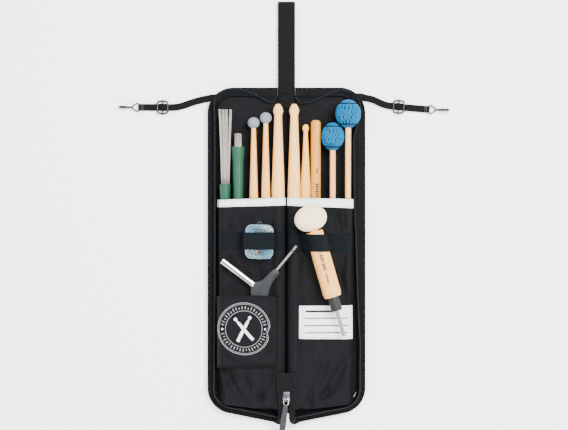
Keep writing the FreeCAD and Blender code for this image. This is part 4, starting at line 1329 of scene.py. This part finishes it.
def zip_parts():
    dress("zip_end_tab", "webbing")
    border = [(x, y, 30.3) for x, y in rounded(25.6, 23.4, 2.2, 0, -186.2)]
    stitches("end_tab_stitches", border + border[:1], "seam", "left_leaf", 2.3, 1.5, 0.24)
    for side, word in ((-1, "left"), (1, "right")):
        flare = [(13.0 * side, -196, 29.6), (12.2 * side, -201.5, 29.4), (11.2 * side, -206, 29.2),
                 (10.6 * side, -214, 28.9)]
        shape = sweep(smooth_path(flare, 5), flat_section(3.6, 0.9))
        build(f"{word}_tab_flare", shape, "webbing", "left_leaf")
    body = [(-4.3, 7.2), (-4.4, 2), (-5.5, -2), (-5.2, -5), (-3.2, -7.4), (3.2, -7.4), (5.2, -5), (5.5, -2),
            (4.4, 2), (4.3, 7.2)]
    at = Matrix.Translation((0, -207, 26.2))
    parts = [plate(body, 4.0, at, 0.7)]
    for y in (-202.4, -204.2, -206.0):
        parts.append(slab((-3.2, y - 0.5, 30.0), (3.2, y + 0.5, 31.1), bevel=0.3))
    parts.append(wire([(0, -203.0, 30), (0, -204.6, 30.4), (0, -207.5, 32.2), (0, -211.5, 32.6),
                       (0, -213.6, 30)],
                      0.9, Matrix(), 10))
    build("slider", combine(parts), "zip_metal", "zip_slider", ["zip_slider"])
    way = Vector((-0.145, -1, 0)).normalized()
    where = aim(0, -211, 31.7, way)
    ring = [(a, b, 0) for a, b in rounded(7.0, 8.6, 2.6, 0, 3.0)]
    build("pull_link", loop(ring, 0.85, where), "chrome", "zip_pull", ())
    grip = [(-2.6, 6.4), (2.6, 6.4), (3.6, 12), (4.6, 40), (4.5, 42.6), (2.6, 45.4), (-2.6, 45.4),
            (-4.5, 42.6), (-4.6, 40), (-3.6, 12)]
    parts = [plate(grip, 2.6, where @ Matrix.Translation((0, 0, -1.3)), 0.6)]
    for row in range(11):
        y = 11 + row * 2.7
        half = 2.0 + 0.03 * y
        for column in (-1, 0, 1):
            x = column * half * 0.8 + (0.5 if row % 2 else 0)
            parts.append(slab((x - 0.55, y, 1.2), (x + 0.55, y + 1.5, 1.75), where, 0.2))
    build("pull_grip", combine(parts), "pull", "zip_pull", ["zip_pull"])


def rod_marks(name, where, radius, spots, body):
    """Small dark bars round a rod: (start, length, middle angle, half angle)."""
    parts = []
    for start, length, middle, half in spots:
        rows = []
        for y in np.linspace(start, start + length, 3):
            rows.append([tuple(where @ Vector((radius * math.sin(a), y, radius * math.cos(a))))
                         for a in np.linspace(middle - half, middle + half, 5)][::-1])
        parts.append(skin(rows, 0.12))
    build(name, combine(parts), "ink", body)


def tool_marks():
    grip = aim(*BEATER_AT, -BEATER_WAY)
    spots = [(50 + 3.1 * k, 1.9 if k % 4 else 1.0, 0.02 * (k % 3), 0.17) for k in range(9)]
    spots += [(80 + 2.4 * k, 1.4, 0.05, 0.11) for k in range(6)]
    rod_marks("grip_marks", grip, 13.6, spots, "beater")
    stick = aim(42, -217, 5.9 + 7.1 + RISE * 5, (0, 1, RISE))
    spots = [(296 + 3.4 * k, 2.2, 0.25, 0.3) for k in range(6)]
    spots += [(330 + 2.6 * k, 1.6, 0.25, 0.2) for k in range(3)]
    rod_marks("stick_f_marks", stick, 7.18, spots, "stick_f")


def hooks():
    for word in ("left", "right"):
        glide(word)
        hook(word)
    strap_roots()


def free_straps():
    """Works out the line of each drum strap, and keeps nothing of it."""
    for word, points in TOM_PATHS.items():
        path = route(points)


# ---------------------------------------------------------------- stage


def lamp(name, place, aim_at, width, power):
    data = bpy.data.lights.new(name, "AREA")
    data.size = width
    data.energy = power
    made = bpy.data.objects.new(name, data)
    made.location = place
    made.rotation_euler = (Vector(aim_at) - Vector(place)).to_track_quat("-Z", "Y").to_euler()
    bpy.context.scene.collection.objects.link(made)
    return made


def set_stage(stage_settings):
    data = bpy.data.meshes.new("floor")
    corners = ((-1, -1), (1, -1), (1, 1), (-1, 1))
    data.from_pydata([(x * FLOOR_HALF, y * FLOOR_HALF, FLOOR_Z) for x, y in corners], [], [(0, 1, 2, 3)])
    floor = bpy.data.objects.new("floor", data)
    paint = bpy.data.materials.new("Floor")
    paint.use_nodes = True
    shader = paint.node_tree.nodes["Principled BSDF"]
    shader.inputs["Base Color"].default_value = (*stage_settings.floor, 1)
    shader.inputs["Roughness"].default_value = 0.9
    shader.inputs["Emission Color"].default_value = (1, 1, 1, 1)
    shader.inputs["Emission Strength"].default_value = 0.9
    data.materials.append(paint)
    bpy.context.scene.collection.objects.link(floor)
    lamps = [lamp("key_lamp", (0.75, 0.75, 1.8), (0, 0, 0), 1.1, stage_settings.light),
             lamp("fill_lamp", (-1.3, 0.2, 1.5), (0, 0, 0), 1.6, stage_settings.light * 0.3),
             lamp("low_lamp", (0.3, -1.5, 1.0), (0, 0, 0), 1.2, stage_settings.light * 0.3)]
    world = bpy.data.worlds.new("studio")
    world.use_nodes = True
    world.node_tree.nodes["Background"].inputs["Color"].default_value = (1, 1, 1, 1)
    world.node_tree.nodes["Background"].inputs["Strength"].default_value = 0.75
    bpy.context.scene.world = world
    data = bpy.data.cameras.new("camera")
    data.lens, data.sensor_width = LENS, SENSOR
    camera = bpy.data.objects.new("camera", data)
    camera.location = (CAMERA_X * MM, CAMERA_Y * MM, stage_settings.distance)
    bpy.context.scene.collection.objects.link(camera)
    bpy.context.scene.camera = camera


# ---------------------------------------------------------------- operators, panel and main


class BAG_OT_stage(bpy.types.Operator):
    """Floor, lights and camera"""
    bl_idname = "bag.stage"
    bl_label = "Stage"

    def execute(self, context):
        set_stage(context.scene.bag_stage)
        return {"FINISHED"}


class BAG_OT_materials(bpy.types.Operator):
    """Materials and their shader groups"""
    bl_idname = "bag.materials"
    bl_label = "Materials"

    def execute(self, context):
        MATERIALS.update(build_materials(context.scene.bag_colours))
        return {"FINISHED"}


class BAG_OT_shell(bpy.types.Operator):
    """Outer cover with its foam, and the lining"""
    bl_idname = "bag.shell"
    bl_label = "Shell"

    def execute(self, context):
        shell()
        return {"FINISHED"}


class BAG_OT_edges(bpy.types.Operator):
    """Side walls, piping, zip tape and teeth"""
    bl_idname = "bag.edges"
    bl_label = "Edges"

    def execute(self, context):
        edges(-1)
        edges(1)
        return {"FINISHED"}


class BAG_OT_pockets(bpy.types.Operator):
    """Stick pockets with their bindings, accessory pocket with its emblem, and the label"""
    bl_idname = "bag.pockets"
    bl_label = "Pockets"

    def execute(self, context):
        pocket_cloth("left_pocket_cloth", -1, -100.6, -0.6)
        pocket_cloth("right_pocket_cloth", 1, -0.2, 97.2)
        pocket_mouths()
        accessory_pocket()
        emblem()
        label()
        return {"FINISHED"}


class BAG_OT_bands(bpy.types.Operator):
    """Elastic bands"""
    bl_idname = "bag.bands"
    bl_label = "Elastic bands"

    def execute(self, context):
        elastics()
        return {"FINISHED"}


class BAG_OT_straps(bpy.types.Operator):
    """Hanging loop and drum straps"""
    bl_idname = "bag.straps"
    bl_label = "Straps"

    def execute(self, context):
        hang_strap()
        tom_straps()
        return {"FINISHED"}


class BAG_OT_metal(bpy.types.Operator):
    """Zip slider, pull and foot tapes, and the hooks and glides of the drum straps"""
    bl_idname = "bag.metal"
    bl_label = "Zip parts and hooks"

    def execute(self, context):
        foot_tapes()
        zip_parts()
        hooks()
        free_straps()
        return {"FINISHED"}


class BAG_OT_sticks(bpy.types.Operator):
    """Sticks and mallets"""
    bl_idname = "bag.sticks"
    bl_label = "Sticks and mallets"

    def execute(self, context):
        sticks()
        mallet_heads()
        return {"FINISHED"}


class BAG_OT_tools(bpy.types.Operator):
    """Brushes, beater, earplug case and drum key"""
    bl_idname = "bag.tools"
    bl_label = "Tools"

    def execute(self, context):
        brushes()
        beater()
        plug_case()
        drum_key()
        tool_marks()
        return {"FINISHED"}


OPERATORS = (BAG_OT_materials, BAG_OT_stage, BAG_OT_shell, BAG_OT_edges, BAG_OT_pockets, BAG_OT_bands,
             BAG_OT_straps, BAG_OT_metal, BAG_OT_sticks, BAG_OT_tools)


class BAG_PT_panel(bpy.types.Panel):
    """Lists the bag's operators"""
    bl_idname = "BAG_PT_panel"
    bl_label = "Drum Stick Bag"
    bl_space_type = "VIEW_3D"
    bl_region_type = "UI"
    bl_category = "Stick Bag"

    def draw(self, context):
        for operator in OPERATORS:
            self.layout.operator(operator.bl_idname)


CLASSES = (BagSizes, BagColours, StageSettings, *OPERATORS, BAG_PT_panel)


def register():
    for item in CLASSES:
        bpy.utils.register_class(item)
    bpy.types.Scene.bag_sizes = bpy.props.PointerProperty(type=BagSizes)
    bpy.types.Scene.bag_colours = bpy.props.PointerProperty(type=BagColours)
    bpy.types.Scene.bag_stage = bpy.props.PointerProperty(type=StageSettings)


def unregister():
    for name in ("bag_sizes", "bag_colours", "bag_stage"):
        delattr(bpy.types.Scene, name)
    for item in reversed(CLASSES):
        bpy.utils.unregister_class(item)


def main():
    register()
    for operator in OPERATORS:
        getattr(bpy.ops.bag, operator.bl_idname.split(".")[1])()


if __name__ == "__main__":
    main()
